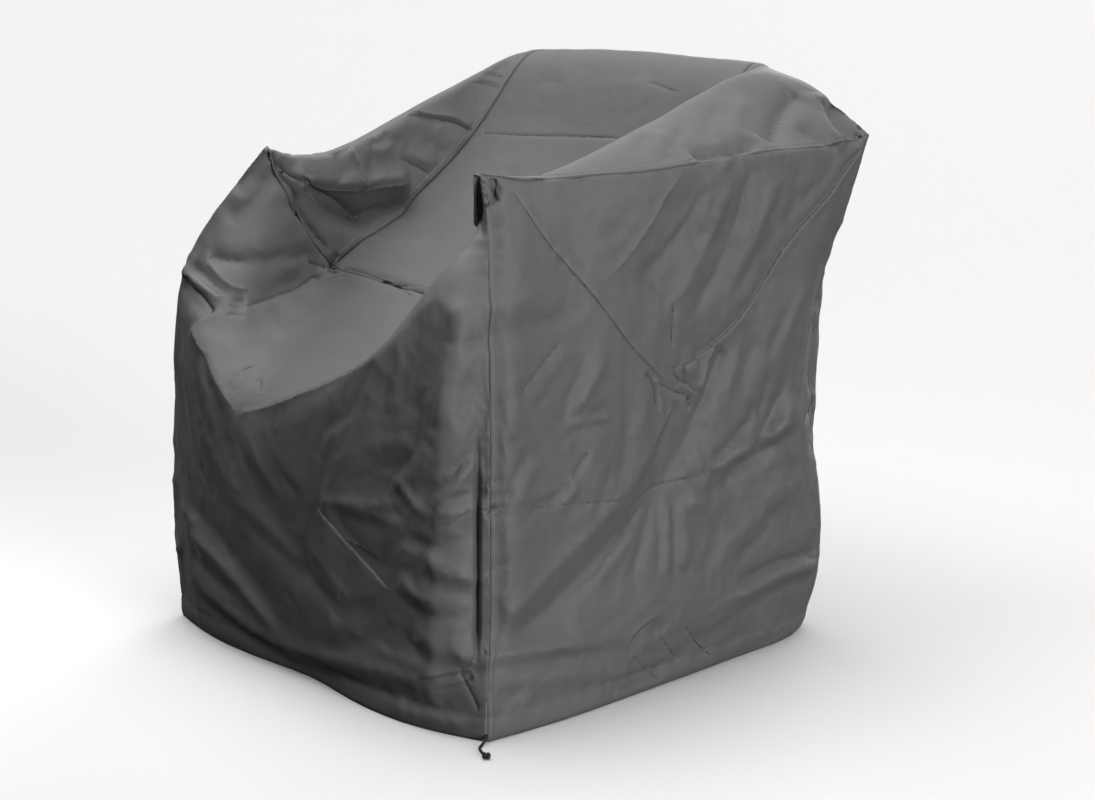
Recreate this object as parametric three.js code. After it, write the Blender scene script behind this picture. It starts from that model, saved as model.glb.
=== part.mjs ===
// A fitted outdoor cover for a single armchair, as it hangs over the chair: seven sewn cloth panels,
// each a thin closed shell, and the tail of the drawcord that runs in the hem.
// Millimetres, +Z up, the chair's front towards -Y. Left and right are as seen from the front.
// The origin is on the ground at the middle of the cover.

import * as THREE from 'three';

// ---- Driving dimensions -------------------------------------------------------------------------

const CLOTH_THICKNESS = 1.8;
const SEAM_GAP = 0.3;        // between the edges of two panels along a seam
const HEM_HEIGHT = 0.2;      // the hem's lower edge above the ground
const FACETS = 3;            // facets between one section and the next
const FOLD_FADE = 3;         // how fast a fold fades: the exponent at the end of its reach
const LEAST_MITRE = 0.02;    // keeps the inset of a very sharp panel tip short

const CORD_DIAMETER = 4;
const CORD_SIDES = 8;
const CORD_STEPS = 12;
const KNOT_DIAMETER = 10;
const KNOT_LENGTH = 9;
const KNOT_RINGS = 6;
const KNOT_SIDES = 12;
const GROUND_GAP = 0.1;      // between the knot and the ground

// Heights of the sections' points, as shares of the way from the hem to the top seam, and on the
// front panel from the hem to the seat's front edge.
const LEVELS = { low: 0.14, middle: 0.38, edge: 0.68, high: 0.86 };
const FRONT_LEVELS = { low: 0.26, middle: 0.62 };

// ---- Points where seams meet --------------------------------------------------------------------

const point = (x, y, z) => new THREE.Vector3(x, y, z);

const leftPeak = point(-276, -229, 774);      // over the front of the left arm
const rightPeak = point(266, -265, 785);      // over the front of the right arm
const leftCrease = point(-284, -98, 567);     // where seat, back and arm meet
const rightCrease = point(284, -98, 567);
const leftShoulder = point(-418, 392, 792);   // outer corners of the back
const rightShoulder = point(425, 400, 801);

// ---- Sections -----------------------------------------------------------------------------------

// Front panel, from the left corner seam to the right one: up from the hem, over the front edge of
// the seat and back over the seat to the crease. lowOut and middleOut stand proud of a straight fall.
const frontSections = [
  {
    hem: [-262, -376], lowOut: 14, middleOut: 16,
    edge: [-286, -367, 520], seat: [-290, -280, 592], crease: [-282, -166, 668],
  },
  {
    hem: [-128, -380], lowOut: 12, middleOut: 12,
    edge: [-136, -401, 390], seat: [-205, -255, 482], crease: leftCrease,
  },
  {
    hem: [-60, -380], lowOut: 14, middleOut: 12,
    edge: [-55, -404, 412], seat: [-95, -248, 488], crease: [-142, -108, 561],
  },
  {
    hem: [10, -378], lowOut: 12, middleOut: 10,
    edge: [20, -402, 440], seat: [10, -245, 498], crease: [0, -112, 557],
  },
  {
    hem: [95, -394], lowOut: 8, middleOut: 10,
    edge: [115, -400, 486], seat: [120, -248, 522], crease: [142, -108, 559],
  },
  {
    hem: [185, -405], lowOut: 6, middleOut: 8,
    edge: [198, -378, 540], seat: [220, -318, 616], crease: rightCrease,
  },
  {
    hem: [290, -397], lowOut: 4, middleOut: 8,
    edge: [284, -354, 608], seat: [256, -293, 686], crease: [278, -180, 690],
  },
];

// The two front corner seams, from the hem to the arm peaks.
const leftCornerSeam = [
  point(-386, -342, HEM_HEIGHT), point(-391, -346, 110), point(-390, -345, 300),
  point(-371, -331, 592), point(-323, -281, 690), leftPeak,
];
const rightCornerSeam = [
  point(386, -366, HEM_HEIGHT), point(382, -360, 110), point(370, -347, 300),
  point(346, -326, 590), point(311, -294, 692), rightPeak,
];

// Back strip, from the left strip seam to the right one: up from the crease to the top of the back
// and over it to the rear seam.
const stripSections = [
  {
    crease: leftCrease, lower: [-277, 12, 628], middle: [-269, 115, 693],
    upper: [-259, 222, 782], crest: [-245, 304, 903], rear: [-238, 352, 898],
  },
  {
    crease: [-142, -108, 561], lower: [-136, 6, 602], middle: [-131, 114, 666],
    upper: [-127, 224, 766], crest: [-122, 316, 910], rear: [-120, 362, 902],
  },
  {
    crease: [0, -112, 557], lower: [0, 4, 598], middle: [0, 114, 661],
    upper: [0, 226, 762], crest: [-2, 324, 913], rear: [-2, 367, 903],
  },
  {
    crease: [142, -108, 559], lower: [137, 8, 602], middle: [131, 118, 668],
    upper: [126, 228, 768], crest: [121, 324, 910], rear: [119, 366, 902],
  },
  {
    crease: rightCrease, lower: [277, 14, 617], middle: [269, 122, 696],
    upper: [260, 228, 794], crest: [247, 314, 907], rear: [240, 360, 901],
  },
];

// Wings, from the arm peak to the rear seam. The inner edge is sewn to the seat and the back strip,
// the outer edge to the side panel; between them a hollow and the ridge over the arm and the back.
const leftWingSections = [
  { hollow: [-284, -176, 716], ridge: [-277, -188, 760], outer: [-304, -158, 748] },
  { hollow: [-294, -98, 662], ridge: [-283, -110, 752], outer: [-322, -78, 746] },
  { hollow: [-296, -5, 688], ridge: [-282, -20, 780], outer: [-340, -2, 756] },
  { hollow: [-284, 100, 772], ridge: [-276, 80, 823], outer: [-358, 80, 772] },
  { hollow: [-270, 208, 838], ridge: [-266, 186, 864], outer: [-378, 188, 780] },
  { hollow: [-258, 300, 900], ridge: [-268, 290, 896], outer: [-398, 294, 782] },
  { hollow: [-272, 360, 890], ridge: [-336, 372, 868], outer: leftShoulder },
];
const rightWingSections = [
  { hollow: [281, -188, 728], ridge: [273, -214, 770], outer: [293, -168, 768] },
  { hollow: [285, -104, 700], ridge: [270, -110, 795], outer: [314, -92, 772] },
  { hollow: [282, 0, 738], ridge: [267, -20, 824], outer: [341, -12, 771] },
  { hollow: [276, 110, 806], ridge: [265, 80, 850], outer: [366, 84, 780] },
  { hollow: [266, 220, 862], ridge: [263, 180, 876], outer: [387, 208, 790] },
  { hollow: [258, 302, 902], ridge: [276, 290, 899], outer: [406, 306, 786] },
  { hollow: [274, 367, 888], ridge: [335, 372, 878], outer: rightShoulder },
];

// Side panels between the two corner seams, front to back: the hem and how far the cloth stands out
// from a straight fall at each level.
const leftSideSections = [
  { hem: [-392, -236], low: 3, middle: 10, edge: 20, high: 10 },
  { hem: [-390, -130], low: 5, middle: 10, edge: 18, high: 8 },
  { hem: [-387, -24], low: 8, middle: 10, edge: 12, high: 4 },
  { hem: [-384, 80], low: 8, middle: 10, edge: 10, high: 2 },
  { hem: [-384, 186], low: 9, middle: 8, edge: 2, high: 0 },
  { hem: [-383, 290], low: 8, middle: 6, edge: -4, high: -2 },
];
const rightSideSections = [
  { hem: [397, -262], low: 4, middle: 12, edge: 22, high: 12 },
  { hem: [397, -150], low: 7, middle: 15, edge: 20, high: 10 },
  { hem: [393, -42], low: 10, middle: 12, edge: 8, high: 2 },
  { hem: [388, 70], low: 8, middle: 4, edge: -8, high: -6 },
  { hem: [384, 180], low: 8, middle: 8, edge: 2, high: 0 },
  { hem: [382, 285], low: 7, middle: 4, edge: -4, high: 2 },
];

// The two rear corner seams, from the hem to the back's outer corners.
const leftRearSeam = [
  point(-372, 350, HEM_HEIGHT), point(-386, 368, 95), point(-380, 364, 290),
  point(-366, 356, 520), point(-396, 374, 668), leftShoulder,
];
const rightRearSeam = [
  point(358, 342, HEM_HEIGHT), point(378, 364, 95), point(373, 357, 290),
  point(352, 350, 520), point(398, 374, 660), rightShoulder,
];

// Rear panel between the rear corner seams, left to right.
const rearSections = [
  { hem: [-318, 372], low: 6, middle: 16, edge: 18, high: 8 },
  { hem: [-262, 380], low: 8, middle: 18, edge: 16, high: 8 },
  { hem: [-205, 384], low: 8, middle: 14, edge: 10, high: 6 },
  { hem: [-104, 386], low: 7, middle: 6, edge: 2, high: 3 },
  { hem: [0, 386], low: 6, middle: 2, edge: -2, high: 2 },
  { hem: [104, 386], low: 7, middle: 8, edge: 4, high: 3 },
  { hem: [205, 384], low: 8, middle: 14, edge: 12, high: 6 },
  { hem: [262, 380], low: 8, middle: 20, edge: 20, high: 8 },
  { hem: [326, 372], low: 6, middle: 26, edge: 44, high: 22 },
];

// Main folds: a soft trough (depth below zero) or ridge along a line of points. reach is how far
// from the line it fades out.
const folds = [
  {
    name: 'pull from right arm peak', depth: -7, reach: 46,
    line: [[312, -160, 680], [340, -78, 574], [364, 25, 453]],
  },
  {
    name: 'pull from right shoulder', depth: -9, reach: 46,
    line: [[404, 270, 690], [376, 133, 539], [366, 60, 452]],
  },
  {
    name: 'long trough down the right side', depth: -9, reach: 60,
    line: [[368, 60, 436], [384, -108, 271], [390, -355, 136]],
  },
  {
    name: 'trough to the right rear seam', depth: -8, reach: 50,
    line: [[386, -15, 307], [388, 130, 316], [376, 340, 352]],
  },
  {
    name: 'ridge above the right hem', depth: 7, reach: 46,
    line: [[392, -110, 80], [390, 60, 120], [384, 345, 140]],
  },
  {
    name: 'diagonal fold across the front', depth: -8, reach: 55,
    line: [[-50, -412, 290], [60, -412, 210], [200, -410, 150]],
  },
  {
    name: 'fold at the left of the front', depth: 8, reach: 50,
    line: [[-392, -345, 170], [-250, -392, 105], [-140, -395, 40]],
  },
  {
    name: 'dip of the seat', depth: -6, reach: 80,
    line: [[-225, -330, 470], [-230, -190, 545]],
  },
  {
    name: 'left arm hollow', depth: -10, reach: 55,
    line: [[-292, -120, 640], [-292, -10, 690]],
  },
  {
    name: 'trough down the rear', depth: -9, reach: 70,
    line: [[-120, 384, 760], [-40, 386, 420], [60, 386, 160]],
  },
  {
    name: 'rear fold to the left', depth: 8, reach: 60,
    line: [[-330, 372, 640], [-200, 390, 420], [-150, 390, 200]],
  },
  {
    name: 'trough down the left side', depth: -9, reach: 60,
    line: [[-400, 300, 640], [-380, 60, 400], [-392, -150, 180]],
  },
];

// ---- From sections to surfaces ------------------------------------------------------------------

const toPoint = (p) => (p.isVector3 ? p : point(...p));

// A smooth line through the points, with FACETS steps from each to the next.
function smoothLine(points) {
  const curve = new THREE.CatmullRomCurve3(points.map(toPoint), false, 'centripetal');
  const steps = (points.length - 1) * FACETS;
  return Array.from({ length: steps + 1 }, (_, i) => (
    i % FACETS === 0 ? toPoint(points[i / FACETS]).clone() : curve.getPoint(i / steps)
  ));
}

// A grid of points through rows of section points, with its four edges laid on the given seams.
// A seam list may hold several seams that follow each other along that edge.
function surface(rows, { first, last, start, end }) {
  const across = rows.map(smoothLine);
  const columns = across[0].map((_, j) => smoothLine(across.map((row) => row[j])));
  const grid = columns[0].map((_, i) => columns.map((column) => column[i]));
  grid[0] = first;
  grid[grid.length - 1] = last;
  grid.forEach((row, i) => {
    row[0] = start[i];
    row[row.length - 1] = end[i];
  });
  return grid;
}

const joinSeams = (...seams) => seams.reduce((line, seam) => [...line, ...seam.slice(1)]);
const reversed = (line) => [...line].reverse();

// A straight fall from the top seam to the hem, standing out by the section's own amounts.
function fall({ hem, low, middle, edge, high }, top, outward) {
  const foot = point(hem[0], hem[1], HEM_HEIGHT);
  const outs = { low, middle, edge, high };
  const between = Object.entries(LEVELS).map(([level, share]) => (
    foot.clone().lerp(top, share).addScaledVector(outward, outs[level])
  ));
  return [foot, ...between, top];
}

const hemLine = (sections, before, after) => smoothLine([
  before, ...sections.map(({ hem }) => point(hem[0], hem[1], HEM_HEIGHT)), after,
]);

// Seams, each worked out once so that both of its panels meet on the same points.
const stripSide = (s) => [s.crease, s.lower, s.middle, s.upper, s.crest, s.rear];
const wingOuter = (peak, sections) => smoothLine([peak, ...sections.map((s) => s.outer)]);
const wingRear = (inner, { hollow, ridge, outer }) => smoothLine([inner, hollow, ridge, outer]);
const firstOf = (list) => list[0];
const lastOf = (list) => list[list.length - 1];

const seams = {
  leftCorner: smoothLine(leftCornerSeam),
  rightCorner: smoothLine(rightCornerSeam),
  leftArm: smoothLine([leftPeak, firstOf(frontSections).crease, leftCrease]),
  rightArm: smoothLine([rightCrease, lastOf(frontSections).crease, rightPeak]),
  crease: smoothLine(stripSections.map((s) => s.crease)),
  leftStrip: smoothLine(stripSide(firstOf(stripSections))),
  rightStrip: smoothLine(stripSide(lastOf(stripSections))),
  leftOuter: wingOuter(leftPeak, leftWingSections),
  rightOuter: wingOuter(rightPeak, rightWingSections),
  leftRear: smoothLine(leftRearSeam),
  rightRear: smoothLine(rightRearSeam),
  leftTop: wingRear(firstOf(stripSections).rear, lastOf(leftWingSections)),
  rightTop: wingRear(lastOf(stripSections).rear, lastOf(rightWingSections)),
  stripTop: smoothLine(stripSections.map((s) => s.rear)),
};

function frontGrid() {
  const outward = point(0, -1, 0);
  const rows = frontSections.map(({ hem, lowOut, middleOut, edge, seat, crease }) => {
    const foot = point(hem[0], hem[1], HEM_HEIGHT);
    const brow = toPoint(edge);
    const low = foot.clone().lerp(brow, FRONT_LEVELS.low).addScaledVector(outward, lowOut);
    const middle = foot.clone().lerp(brow, FRONT_LEVELS.middle).addScaledVector(outward, middleOut);
    return [foot, low, middle, brow, seat, crease];
  });
  return surface([leftCornerSeam, ...rows, rightCornerSeam], {
    first: seams.leftCorner,
    last: seams.rightCorner,
    start: hemLine(frontSections, leftCornerSeam[0], rightCornerSeam[0]),
    end: joinSeams(seams.leftArm, seams.crease, seams.rightArm),
  });
}

function stripGrid() {
  return surface(stripSections.map(stripSide), {
    first: seams.leftStrip,
    last: seams.rightStrip,
    start: seams.crease,
    end: seams.stripTop,
  });
}

function wingGrid(peak, sections, armSeam, stripSeam, outerSeam, rearSeam) {
  const inner = joinSeams(armSeam, stripSeam);
  const rows = sections.map(({ hollow, ridge, outer }, i) => (
    [inner[(i + 1) * FACETS], hollow, ridge, outer]
  ));
  return surface([[peak, peak, peak, peak].map((p) => p.clone()), ...rows], {
    first: Array.from({ length: rearSeam.length }, () => peak.clone()),
    last: rearSeam,
    start: inner,
    end: outerSeam,
  });
}

function sideGrid(sections, cornerPoints, cornerSeam, outerSeam, rearPoints, rearSeam, outward) {
  const rows = sections.map((section, i) => fall(section, outerSeam[(i + 1) * FACETS], outward));
  return surface([cornerPoints, ...rows, rearPoints], {
    first: cornerSeam,
    last: rearSeam,
    start: hemLine(sections, cornerPoints[0], rearPoints[0]),
    end: outerSeam,
  });
}

function rearGrid() {
  const top = joinSeams(reversed(seams.leftTop), seams.stripTop, seams.rightTop);
  const outward = point(0, 1, 0);
  const rows = rearSections.map((section, i) => fall(section, top[(i + 1) * FACETS], outward));
  return surface([leftRearSeam, ...rows, rightRearSeam], {
    first: seams.leftRear,
    last: seams.rightRear,
    start: hemLine(rearSections, leftRearSeam[0], rightRearSeam[0]),
    end: top,
  });
}

// ---- The panels as thin shells ------------------------------------------------------------------

const keyOf = (p) => [p.x, p.y, p.z].map((v) => v.toFixed(3)).join(',');

// Two triangles for each cell of a grid; a cell that closes to a point at a peak keeps one.
// flip turns the cloth's outer face to the other side.
function trianglesOf(grid, flip) {
  const triangles = [];
  const add = (a, b, c) => {
    const distinct = new Set([a, b, c].map(keyOf)).size === 3;
    if (distinct) triangles.push(flip ? [a, c, b] : [a, b, c]);
  };
  for (let i = 0; i + 1 < grid.length; i += 1) {
    for (let j = 0; j + 1 < grid[i].length; j += 1) {
      const [a, b, c, d] = [grid[i][j], grid[i + 1][j], grid[i + 1][j + 1], grid[i][j + 1]];
      add(a, b, c);
      add(a, c, d);
    }
  }
  return triangles;
}

// The normal at each point of the whole cover, shared by the panels that meet there: each face
// counts by its angle at the point, so that along a seam the normal lies midway between the panels.
function sharedNormals(panels) {
  const normals = new Map();
  for (const corners of panels.flatMap((panel) => panel.triangles)) {
    corners.forEach((corner, i) => {
      const next = corners[(i + 1) % 3].clone().sub(corner);
      const previous = corners[(i + 2) % 3].clone().sub(corner);
      const angle = next.angleTo(previous);
      const face = next.cross(previous).normalize();
      const key = keyOf(corner);
      normals.set(key, (normals.get(key) ?? point(0, 0, 0)).addScaledVector(face, angle));
    });
  }
  normals.forEach((normal) => normal.normalize());
  return normals;
}

// How far a point lies from a fold's line of points.
function distanceToLine(p, line) {
  const nearest = point(0, 0, 0);
  const distances = line.slice(1).map((end, i) => {
    new THREE.Line3(toPoint(line[i]), toPoint(end)).closestPointToPoint(p, true, nearest);
    return nearest.distanceTo(p);
  });
  return Math.min(...distances);
}

// Each fold lifts or sinks the cloth along its normal; the hem and the seams' ends stay put.
function foldedPoint(p, normal) {
  if (p.z <= HEM_HEIGHT) return p.clone();
  const lift = folds.reduce((sum, { depth, reach, line }) => (
    sum + depth * Math.exp(-FOLD_FADE * (distanceToLine(p, line) / reach) ** 2)
  ), 0);
  return p.clone().addScaledVector(normal, lift);
}

// Boundary edges of a panel, each from one point's key to the next.
function boundaryOf(triangles) {
  const edges = new Map();
  for (const corners of triangles) {
    corners.forEach((from, i) => {
      const to = corners[(i + 1) % 3];
      edges.set(`${keyOf(from)}>${keyOf(to)}`, [from, to]);
    });
  }
  return [...edges.values()].filter(([from, to]) => !edges.has(`${keyOf(to)}>${keyOf(from)}`));
}

// Moves into the panel, at each boundary point, by half the seam's gap.
function seamInsets(boundary, normals) {
  const sides = new Map();
  for (const [from, to] of boundary) {
    for (const end of [from, to]) {
      const normal = normals.get(keyOf(end));
      const inward = normal.clone().cross(to.clone().sub(from)).normalize();
      sides.set(keyOf(end), [...(sides.get(keyOf(end)) ?? []), inward]);
    }
  }
  const insets = new Map();
  sides.forEach(([one, other = one], key) => {
    const share = (SEAM_GAP / 2) / Math.max(LEAST_MITRE, 1 + one.dot(other));
    insets.set(key, one.clone().add(other).multiplyScalar(share));
  });
  return insets;
}

function shellGeometry(triangles, normals) {
  const boundary = boundaryOf(triangles);
  const insets = seamInsets(boundary, normals);
  const corners = [];
  const layer = (p, side) => {
    const key = keyOf(p);
    const inset = insets.get(key) ?? point(0, 0, 0);
    return p.clone().add(inset).addScaledVector(normals.get(key), side * CLOTH_THICKNESS / 2);
  };
  for (const [a, b, c] of triangles) {
    corners.push(layer(a, 1), layer(b, 1), layer(c, 1));
    corners.push(layer(a, -1), layer(c, -1), layer(b, -1));
  }
  for (const [from, to] of boundary) {
    const [a, b, c, d] = [layer(to, 1), layer(from, 1), layer(from, -1), layer(to, -1)];
    // The same diagonal from both sides of a seam, so that the two edges lie along each other.
    if (keyOf(from) < keyOf(to)) corners.push(a, b, c, a, c, d);
    else corners.push(a, b, d, b, c, d);
  }
  return new THREE.BufferGeometry().setFromPoints(corners);
}

// ---- The drawcord's tail ------------------------------------------------------------------------

// The cord leaves the hem at the right front corner, drops to the ground and lies in a short hook.
const cordRoute = [
  [387, -366.9, 11], [388.7, -369.6, 10], [390.8, -374, 6.8], [392.6, -379, 3.9],
  [394.2, -384, 2.5], [396.6, -388.8, 2.1], [400.6, -393.4, 2.1], [406, -397.2, 2.1],
  [413, -400.8, 2.1], [421, -404.6, 2.1], [429, -408.6, 2.1],
].map(toPoint);

function cordGeometry() {
  const section = new THREE.Shape();
  for (let i = 0; i < CORD_SIDES; i += 1) {
    const turn = (2 * Math.PI * (i + 0.5)) / CORD_SIDES;
    const [x, y] = [Math.cos(turn), Math.sin(turn)].map((v) => (v * CORD_DIAMETER) / 2);
    if (i === 0) section.moveTo(x, y); else section.lineTo(x, y);
  }
  return new THREE.ExtrudeGeometry(section, {
    steps: CORD_STEPS,
    extrudePath: new THREE.CatmullRomCurve3(cordRoute),
    bevelEnabled: false,
  });
}

// A single overhand knot, as the closed outline it fills.
function knotGeometry() {
  const profile = [];
  for (let i = 0; i <= KNOT_RINGS; i += 1) {
    const turn = (Math.PI * i) / KNOT_RINGS;
    const radius = i % KNOT_RINGS === 0 ? 0 : (Math.sin(turn) * KNOT_DIAMETER) / 2;
    profile.push(new THREE.Vector2(radius, (-Math.cos(turn) * KNOT_LENGTH) / 2));
  }
  return new THREE.LatheGeometry(profile, KNOT_SIDES);
}

// ---- Materials and the finished cover -----------------------------------------------------------

const matte = (color, roughness) => new THREE.MeshStandardMaterial({ color, roughness, metalness: 0 });
const cloth = (shade) => matte(shade, 0.72);
const cordMaterial = matte(0x1c1c1e, 0.8);

const panels = [
  { name: 'front_panel', triangles: trianglesOf(frontGrid(), false), material: cloth(0x4b4b4d) },
  { name: 'back_strip', triangles: trianglesOf(stripGrid(), false), material: cloth(0x525254) },
  {
    name: 'left_wing',
    triangles: trianglesOf(wingGrid(leftPeak, leftWingSections, seams.leftArm, seams.leftStrip,
      seams.leftOuter, seams.leftTop), false),
    material: cloth(0x4f4f51),
  },
  {
    name: 'right_wing',
    triangles: trianglesOf(wingGrid(rightPeak, rightWingSections, reversed(seams.rightArm),
      seams.rightStrip, seams.rightOuter, seams.rightTop), true),
    material: cloth(0x4f4f51),
  },
  {
    name: 'left_side_panel',
    triangles: trianglesOf(sideGrid(leftSideSections, leftCornerSeam, seams.leftCorner,
      seams.leftOuter, leftRearSeam, seams.leftRear, point(-1, 0, 0)), true),
    material: cloth(0x4d4d4f),
  },
  {
    name: 'right_side_panel',
    triangles: trianglesOf(sideGrid(rightSideSections, rightCornerSeam, seams.rightCorner,
      seams.rightOuter, rightRearSeam, seams.rightRear, point(1, 0, 0)), false),
    material: cloth(0x4d4d4f),
  },
  { name: 'rear_panel', triangles: trianglesOf(rearGrid(), true), material: cloth(0x4a4a4c) },
];

// The folds move the points that the panels share, so each point is worked out once.
const flatNormals = sharedNormals(panels);
const folded = new Map();
for (const p of panels.flatMap((panel) => panel.triangles).flat()) {
  const key = keyOf(p);
  if (!folded.has(key)) folded.set(key, foldedPoint(p, flatNormals.get(key)));
}
for (const panel of panels) {
  panel.triangles = panel.triangles.map((corners) => corners.map((p) => folded.get(keyOf(p))));
}

const group = new THREE.Group();
const normals = sharedNormals(panels);
for (const { name, triangles, material } of panels) {
  const mesh = new THREE.Mesh(shellGeometry(triangles, normals), material);
  mesh.name = name;
  group.add(mesh);
}

const cord = new THREE.Mesh(cordGeometry(), cordMaterial);
cord.name = 'drawcord';
group.add(cord);

const knot = new THREE.Mesh(knotGeometry(), cordMaterial);
knot.name = 'drawcord_knot';
const cordEnd = lastOf(cordRoute);
const cordHeading = cordEnd.clone().sub(cordRoute[cordRoute.length - 2]).setZ(0).normalize();
knot.quaternion.setFromUnitVectors(point(0, 1, 0), cordHeading);
knot.position.copy(cordEnd).addScaledVector(cordHeading, KNOT_LENGTH / 2 + SEAM_GAP);
knot.position.z = KNOT_DIAMETER / 2 + GROUND_GAP;
group.add(knot);

export default group;
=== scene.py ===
import math
import random
from collections import namedtuple

import bmesh
import bpy
import numpy as np
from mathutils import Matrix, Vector, noise
from mathutils.bvhtree import BVHTree
from mathutils.geometry import barycentric_transform
from mathutils.kdtree import KDTree


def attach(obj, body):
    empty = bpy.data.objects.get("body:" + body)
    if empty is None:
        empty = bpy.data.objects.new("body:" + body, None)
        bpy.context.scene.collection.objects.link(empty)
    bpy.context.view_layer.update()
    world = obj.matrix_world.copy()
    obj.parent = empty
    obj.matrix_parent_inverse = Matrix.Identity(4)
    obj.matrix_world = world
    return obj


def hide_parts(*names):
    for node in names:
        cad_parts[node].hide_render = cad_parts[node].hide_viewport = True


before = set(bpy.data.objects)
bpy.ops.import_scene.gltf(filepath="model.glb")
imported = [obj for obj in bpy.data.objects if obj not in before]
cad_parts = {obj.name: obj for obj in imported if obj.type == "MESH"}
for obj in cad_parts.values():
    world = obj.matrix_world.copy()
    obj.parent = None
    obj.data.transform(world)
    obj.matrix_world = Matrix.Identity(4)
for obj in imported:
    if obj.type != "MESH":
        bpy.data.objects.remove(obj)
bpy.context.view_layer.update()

# ---- Camera -----------------------------------------------------------------------------------
# A long lens a little above the back of the chair, looking down at the right front corner.

EYE = Vector((2.687, -2.447, 1.2))
EYE_AZIMUTH = math.radians(46.3)
EYE_PITCH = math.radians(12.8)
LENS_MM = 76.6

camera_data = bpy.data.cameras.new("camera")
camera_data.lens = LENS_MM
camera_data.sensor_fit = "HORIZONTAL"
camera = bpy.data.objects.new("camera", camera_data)
camera.location = EYE
camera.rotation_euler = (math.pi / 2 - EYE_PITCH, 0, EYE_AZIMUTH)
bpy.context.scene.collection.objects.link(camera)
bpy.context.scene.camera = camera

# ---- Drawcord ---------------------------------------------------------------------------------
# The free tail of the round braided cord that runs in the hem. It leaves the hem at the right
# front corner, drops to the ground and lies in a short hook that ends in an overhand knot.

CORD_DIAMETER = 0.004
CORD_ROUTE = [
    (0.3870, -0.3669, 0.011), (0.3887, -0.3696, 0.010), (0.3908, -0.3740, 0.0068),
    (0.3926, -0.3790, 0.0039), (0.3942, -0.3840, 0.0025), (0.3966, -0.3888, 0.0021),
    (0.4006, -0.3934, 0.0021), (0.4060, -0.3972, 0.0021), (0.4130, -0.4008, 0.0021),
    (0.4210, -0.4046, 0.0021), (0.4290, -0.4086, 0.0021),
]
BRAID_PITCH = 0.009           # length of one turn of a strand
BRAID_STRANDS = 8
BRAID_RELIEF = 0.00016        # how far a strand stands proud
END_SHARE = 0.6               # of the radius, at the very end
END_GROWTH = 3                # rings over which it would grow by a whole radius
CORD_SIDES = 32
CORD_STEP = 0.0006


def smooth_line(points, step):
    """A centripetal curve through the points, as points about one step apart."""
    given = [Vector(point) for point in points]
    ends = [2 * given[0] - given[1], *given, 2 * given[-1] - given[-2]]
    line = [given[0]]
    for a, b, c, d in zip(ends, ends[1:], ends[2:], ends[3:]):
        t1 = math.sqrt((b - a).length)
        t2 = t1 + math.sqrt((c - b).length)
        t3 = t2 + math.sqrt((d - c).length)
        count = max(1, round((c - b).length / step))
        for i in range(1, count + 1):
            t = t1 + (t2 - t1) * i / count
            ab = a.lerp(b, t / t1)
            bc = b.lerp(c, (t - t1) / (t2 - t1))
            cd = c.lerp(d, (t - t2) / (t3 - t2))
            first, second = ab.lerp(bc, t / t2), bc.lerp(cd, (t - t1) / (t3 - t1))
            line.append(first.lerp(second, (t - t1) / (t2 - t1)))
    return line


def new_piece(name, verts, faces, material=None):
    mesh = bpy.data.meshes.new(name)
    mesh.from_pydata([tuple(v) for v in verts], [], [tuple(f) for f in faces])
    mesh.update()
    piece = bpy.data.objects.new(name, mesh)
    bpy.context.scene.collection.objects.link(piece)
    if material:
        mesh.materials.append(material)
    mesh.shade_smooth()
    return piece


def braided_tube(name, line, material):
    """A closed tube along the line, its skin raised where the strands of the braid cross over."""
    verts, faces, around = [], [], []
    length = 0.0
    side = Vector((0, 0, 1)).cross(line[1] - line[0]).normalized()
    for i, p in enumerate(line):
        ahead = (line[min(i + 1, len(line) - 1)] - line[max(i - 1, 0)]).normalized()
        side = (side - ahead * side.dot(ahead)).normalized()
        up = ahead.cross(side)
        if i:
            length += (p - line[i - 1]).length
        end = min(1.0, END_SHARE + min(i, len(line) - 1 - i) / END_GROWTH)
        for k in range(CORD_SIDES):
            turn = 2 * math.pi * k / CORD_SIDES
            phase = 2 * math.pi * length / BRAID_PITCH
            left = math.sin(BRAID_STRANDS / 2 * turn + phase * BRAID_STRANDS / 2)
            right = math.sin(BRAID_STRANDS / 2 * turn - phase * BRAID_STRANDS / 2)
            radius = CORD_DIAMETER / 2 - BRAID_RELIEF + BRAID_RELIEF * max(abs(left), abs(right))
            verts.append(p + (side * math.cos(turn) + up * math.sin(turn)) * radius * end)
    for i in range(len(line) - 1):
        for k in range(CORD_SIDES):
            a, b = i * CORD_SIDES + k, i * CORD_SIDES + (k + 1) % CORD_SIDES
            faces.append((a, b, b + CORD_SIDES, a + CORD_SIDES))
    first, last = len(verts), len(verts) + 1
    verts += [line[0], line[-1]]
    for k in range(CORD_SIDES):
        after = (k + 1) % CORD_SIDES
        faces.append((after, k, first))
        faces.append((len(verts) - 2 - CORD_SIDES + k, len(verts) - 2 - CORD_SIDES + after, last))
    return new_piece(name, verts, faces, material)


def link(tree, a, b):
    tree.links.new(a, b)


def speckled(name, scale, dark, light, roughness):
    """A yarn or thread whose fibres are unevenly dark."""
    material = bpy.data.materials.new(name)
    material.use_nodes = True
    tree = material.node_tree
    shader = tree.nodes["Principled BSDF"]
    shader.inputs["Roughness"].default_value = roughness
    specks = tree.nodes.new("ShaderNodeTexNoise")
    specks.inputs["Scale"].default_value = scale
    shade = tree.nodes.new("ShaderNodeValToRGB")
    shade.color_ramp.elements[0].color = dark
    shade.color_ramp.elements[1].color = light
    places = tree.nodes.new("ShaderNodeTexCoord")
    link(tree, places.outputs["Object"], specks.inputs["Vector"])
    link(tree, specks.outputs["Fac"], shade.inputs["Fac"])
    link(tree, shade.outputs["Color"], shader.inputs["Base Color"])
    return material


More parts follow.
